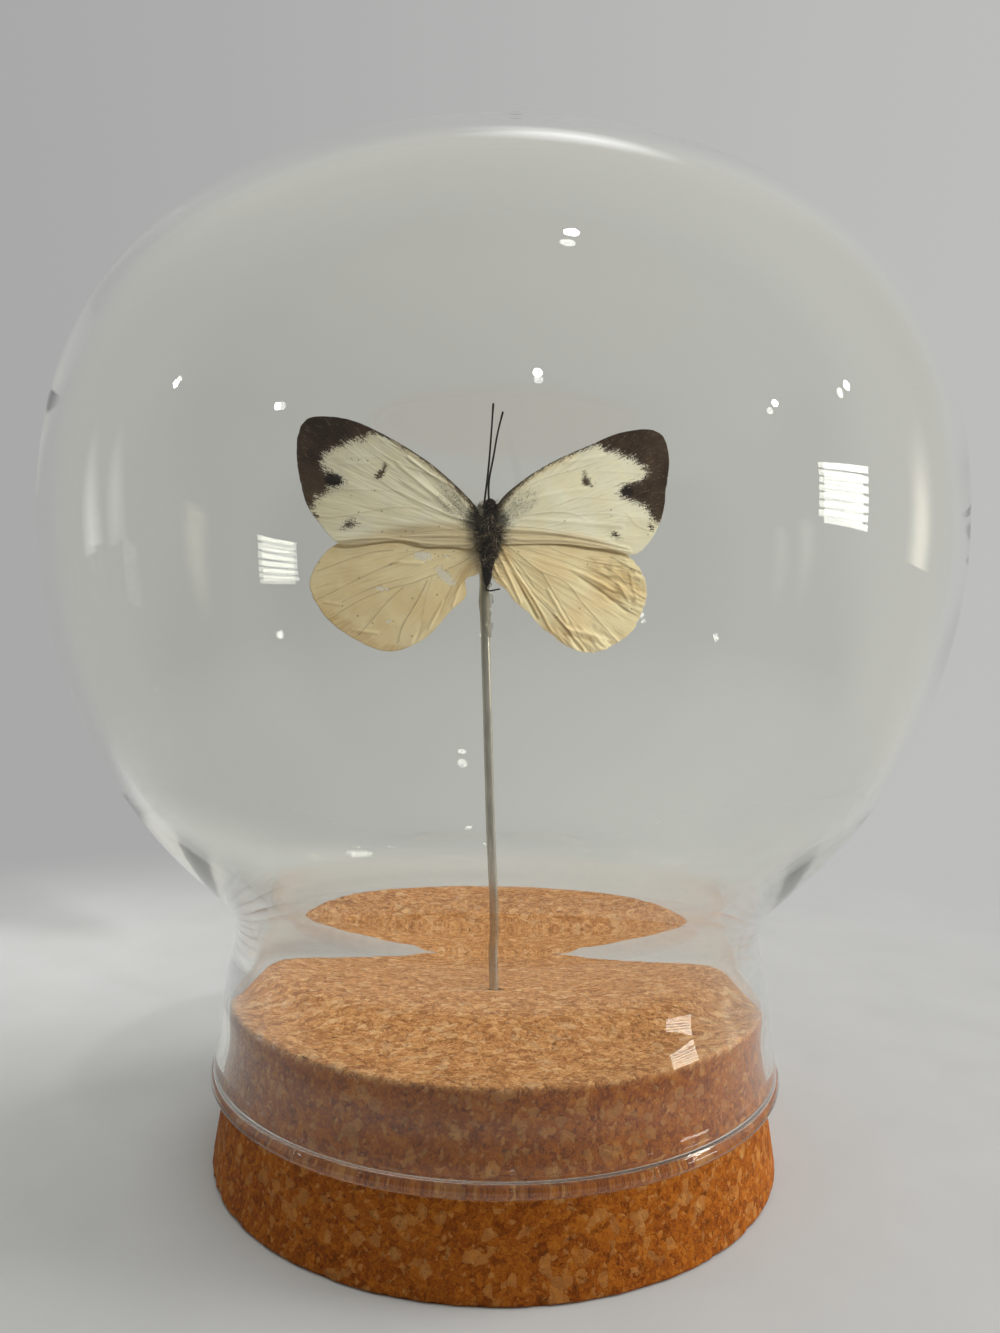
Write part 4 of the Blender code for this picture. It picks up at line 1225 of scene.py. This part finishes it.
def far_colour(n, direction, dim):
    """The soft room by direction: pale wall behind, bright sides and ceiling, dim in front."""
    x, y, z = (along(n, direction, axis) for axis in ((1, 0, 0), (0, 1, 0), (0, 0, 1)))
    colour = n.blend(n.between(z, 0.1, 0.75), (0.42, 0.42, 0.40), (0.62, 0.61, 0.57))
    colour = n.blend(n.between(x, 0.35, 0.9), colour, (0.60, 0.59, 0.55))
    colour = n.blend(n.between(x, -0.4, -0.95), colour, (0.44, 0.44, 0.42))
    wall = n.blend(n.between(x, -0.5, 0.5), (0.395, 0.395, 0.395), (0.51, 0.51, 0.505))
    colour = n.blend(n.between(y, 0.35, 0.74), colour, wall)
    return n.blend(glow(n, direction, 2, 4, 76, 52), colour, (dim, dim, dim * 0.96))


class Room(Nodes):
    """The nodes of the room's own light."""

    def __init__(self):
        self.world = bpy.data.worlds.new("soft_room")
        self.world.use_nodes = True
        self.tree = self.world.node_tree


def build_room():
    """The soft room, with the bright patches that the glass mirrors."""
    r = Room()
    direction = r.add("ShaderNodeTexCoord").outputs["Generated"]
    colour = far_colour(r, direction, FRONT_DIM)
    passes = r.add("ShaderNodeLightPath").outputs["Ray Depth"]
    early = r.math("MULTIPLY", r.math("GREATER_THAN", passes, 0.5),
                   r.math("LESS_THAN", passes, SEEN_WITHIN))
    for azimuth, elevation, wide, high, shade in (
            (167, 58, 13, 5, (1.3, 1.3, 1.3)), (109, 2, 6, 17, (1.7, 1.6, 1.35)),
            (-107, 0, 4, 15, (1.3, 1.3, 1.25)), (-97, 4, 3, 12, (1.1, 1.1, 1.05)),
            (120, 30, 16, 26, (0.54, 0.53, 0.50))):
        patch = r.math("MULTIPLY", glow(r, direction, azimuth, elevation, wide, high), early)
        colour = r.blend(patch, colour, shade)
    r.wire(colour, r.tree.nodes["Background"].inputs["Color"])
    bpy.context.scene.world = r.world


def build_floor():
    """A pale floor round the display; farther out the floor glows with the room's own colours, dim
    in front (painted light), and so melts into the room.
    """
    n = Nodes("stage_floor")
    place = n.object_place()
    n.wire(n.tones(n.noise(place, 0.05, 3.0), [(0.3, (0.50, 0.50, 0.495)),
                                               (0.7, (0.53, 0.53, 0.525))]),
           n.shader.inputs["Base Color"])
    n.shader.inputs["Roughness"].default_value = 0.85
    n.shader.inputs["Specular IOR Level"].default_value = 0.1
    length = n.add("ShaderNodeVectorMath", operation="LENGTH")
    n.wire(place, length.inputs[0])
    direction = n.add("ShaderNodeVectorMath", operation="NORMALIZE")
    n.wire(place, direction.inputs[0])
    # Painted light: beyond the pale zone the floor glows with the room's colours, dimmer in front.
    far = n.add("ShaderNodeEmission")
    n.wire(far_colour(n, direction.outputs[0], FRONT_DIM), far.inputs["Color"])
    fade = n.between(length.outputs["Value"], FLOOR_PALE_TO, FLOOR_FAR_FROM)
    n.wire(n.mix_shaders(fade, n.shader.outputs[0], far.outputs[0]), n.output.inputs["Surface"])
    mesh = bpy.data.meshes.new("stage_floor")
    angle = np.linspace(0, 2 * np.pi, 96, endpoint=False)
    rim = np.stack([9 * np.cos(angle), 9 * np.sin(angle), angle * 0], axis=1)
    mesh.from_pydata(rim.tolist(), [], [list(range(96))])
    floor = bpy.data.objects.new("stage_floor", mesh)
    bpy.context.scene.collection.objects.link(floor)
    mesh.materials.append(n.material)


def place_light(data, azimuth, elevation, distance, target):
    """Stand a light off its target and turn it to face the target."""
    light = bpy.data.objects.new(data.name, data)
    bpy.context.scene.collection.objects.link(light)
    way = toward(azimuth, elevation)
    light.location = np.array(target) + way * distance
    light.rotation_euler = Vector(-way).to_track_quat("-Z", "Y").to_euler()
    light.visible_camera = False
    return light


def area_light(name, azimuth, elevation, width, height, brightness, shape="RECTANGLE",
               colour=(1, 1, 1)):
    """A flat light of even brightness, whose picture dies out deep inside the glass."""
    data = bpy.data.lights.new(name, "AREA")
    data.shape = shape
    data.size = width
    data.size_y = height
    data.energy = brightness * 4 * width * height * (math.pi / 4 if shape == "DISK" else 1.0)
    data.color = colour
    data.use_nodes = True
    tree = data.node_tree
    early = tree.nodes.new("ShaderNodeMath")
    early.operation = "LESS_THAN"
    early.inputs[1].default_value = SEEN_WITHIN
    tree.links.new(tree.nodes.new("ShaderNodeLightPath").outputs["Ray Depth"], early.inputs[0])
    tree.links.new(early.outputs[0], tree.nodes["Emission"].inputs["Strength"])
    return place_light(data, azimuth, elevation, LIGHT_DISTANCE, LIGHT_TARGET)


def build_lights():
    """A window with a slatted blind to the right, small ceiling lamps, and a butterfly lamp."""
    for k in range(7):
        area_light(f"window_slat_{k}", 79, 2.2 + 1.32 * k, 0.30, 0.022, 7.0,
                   colour=(1.0, 1.0, 0.93))
    for k, (azimuth, elevation, size) in enumerate((
            (24, 64, 0.06), (7, 26, 0.045), (-79, 22, 0.035), (-50, 18, 0.035),
            (61, 20, 0.035), (83, 23, 0.04))):
        area_light(f"ceiling_lamp_{k}", azimuth, elevation, size, size, 38.0, "DISK")
    for name, azimuth, elevation, strength, spread in (
            ("overhead_daylight", 60, 74, 0.95, 50), ("side_daylight", 98, 17, 2.5, 34)):
        data = bpy.data.lights.new(name, "SUN")
        data.energy = strength
        data.angle = math.radians(spread)
        unseen(place_light(data, azimuth, elevation, LIGHT_DISTANCE, LIGHT_TARGET))
    data = bpy.data.lights.new("butterfly_lamp", "SPOT")
    data.energy = 26.5
    data.spot_size = math.radians(6.4)
    data.spot_blend = 0.7
    data.shadow_soft_size = 0.03
    unseen(place_light(data, 50, 25, 0.9, BUTTERFLY))


def unseen(light):
    """Let a light shine without a picture of itself in the glass."""
    light.visible_glossy = False
    light.visible_transmission = False


def build_camera():
    """Close wide view, nearly level, with a slight roll."""
    data = bpy.data.cameras.new("camera")
    data.sensor_width = 36.0
    data.lens = CAMERA_LENS
    data.clip_start = 0.005
    camera = bpy.data.objects.new("camera", data)
    bpy.context.scene.collection.objects.link(camera)
    camera.location = CAMERA_PLACE
    camera.rotation_mode = "XYZ"
    turn = (Matrix.Rotation(math.pi / 2 - CAMERA_PITCH, 4, "X")
            @ Matrix.Rotation(CAMERA_ROLL, 4, "Z"))
    camera.rotation_euler = turn.to_euler()
    bpy.context.scene.camera = camera


def main():
    scene = bpy.context.scene
    scene.view_settings.view_transform = "Standard"
    scene.cycles.max_bounces = LONGEST_PATH
    scene.cycles.glossy_bounces = LONGEST_PATH
    scene.cycles.transmission_bounces = LONGEST_PATH
    build_room()
    build_floor()
    build_lights()
    build_camera()
    build_dome(clear_glass())
    build_cork(agglomerated_cork())
    build_wire(satin_wire())
    build_glue(clear_glue())
    chitin = insect_dark("chitin", (0.004, 0.003, 0.0025), (0.016, 0.010, 0.008), 0.5)
    dark_hair = insect_dark("dark_hair", (0.008, 0.006, 0.004), (0.035, 0.024, 0.016), 0.6)
    brown_hair = insect_dark("brown_hair", (0.05, 0.032, 0.018), (0.19, 0.13, 0.075), 0.6)
    pale_hair = insect_dark("pale_hair", (0.26, 0.20, 0.13), (0.55, 0.47, 0.34), 0.6)
    build_body(chitin)
    build_eyes(chitin)
    build_feelers(chitin)
    build_body_hair(dark_hair, brown_hair, pale_hair)
    build_root_hair(dark_hair, brown_hair, pale_hair)
    white = wing_scales("forewing_scales", (0.84, 0.80, 0.64), (0.84, 0.77, 0.56),
                        (0.56, 0.50, 0.36), (0.34, 0.27, 0.17), 0.0)
    buff = wing_scales("hindwing_scales", (0.86, 0.75, 0.48), (0.82, 0.66, 0.38),
                       (0.64, 0.50, 0.28), (0.22, 0.13, 0.06), 0.72)
    for name in WINGS:
        build_wing(name, buff if "hind" in name else white)


main()
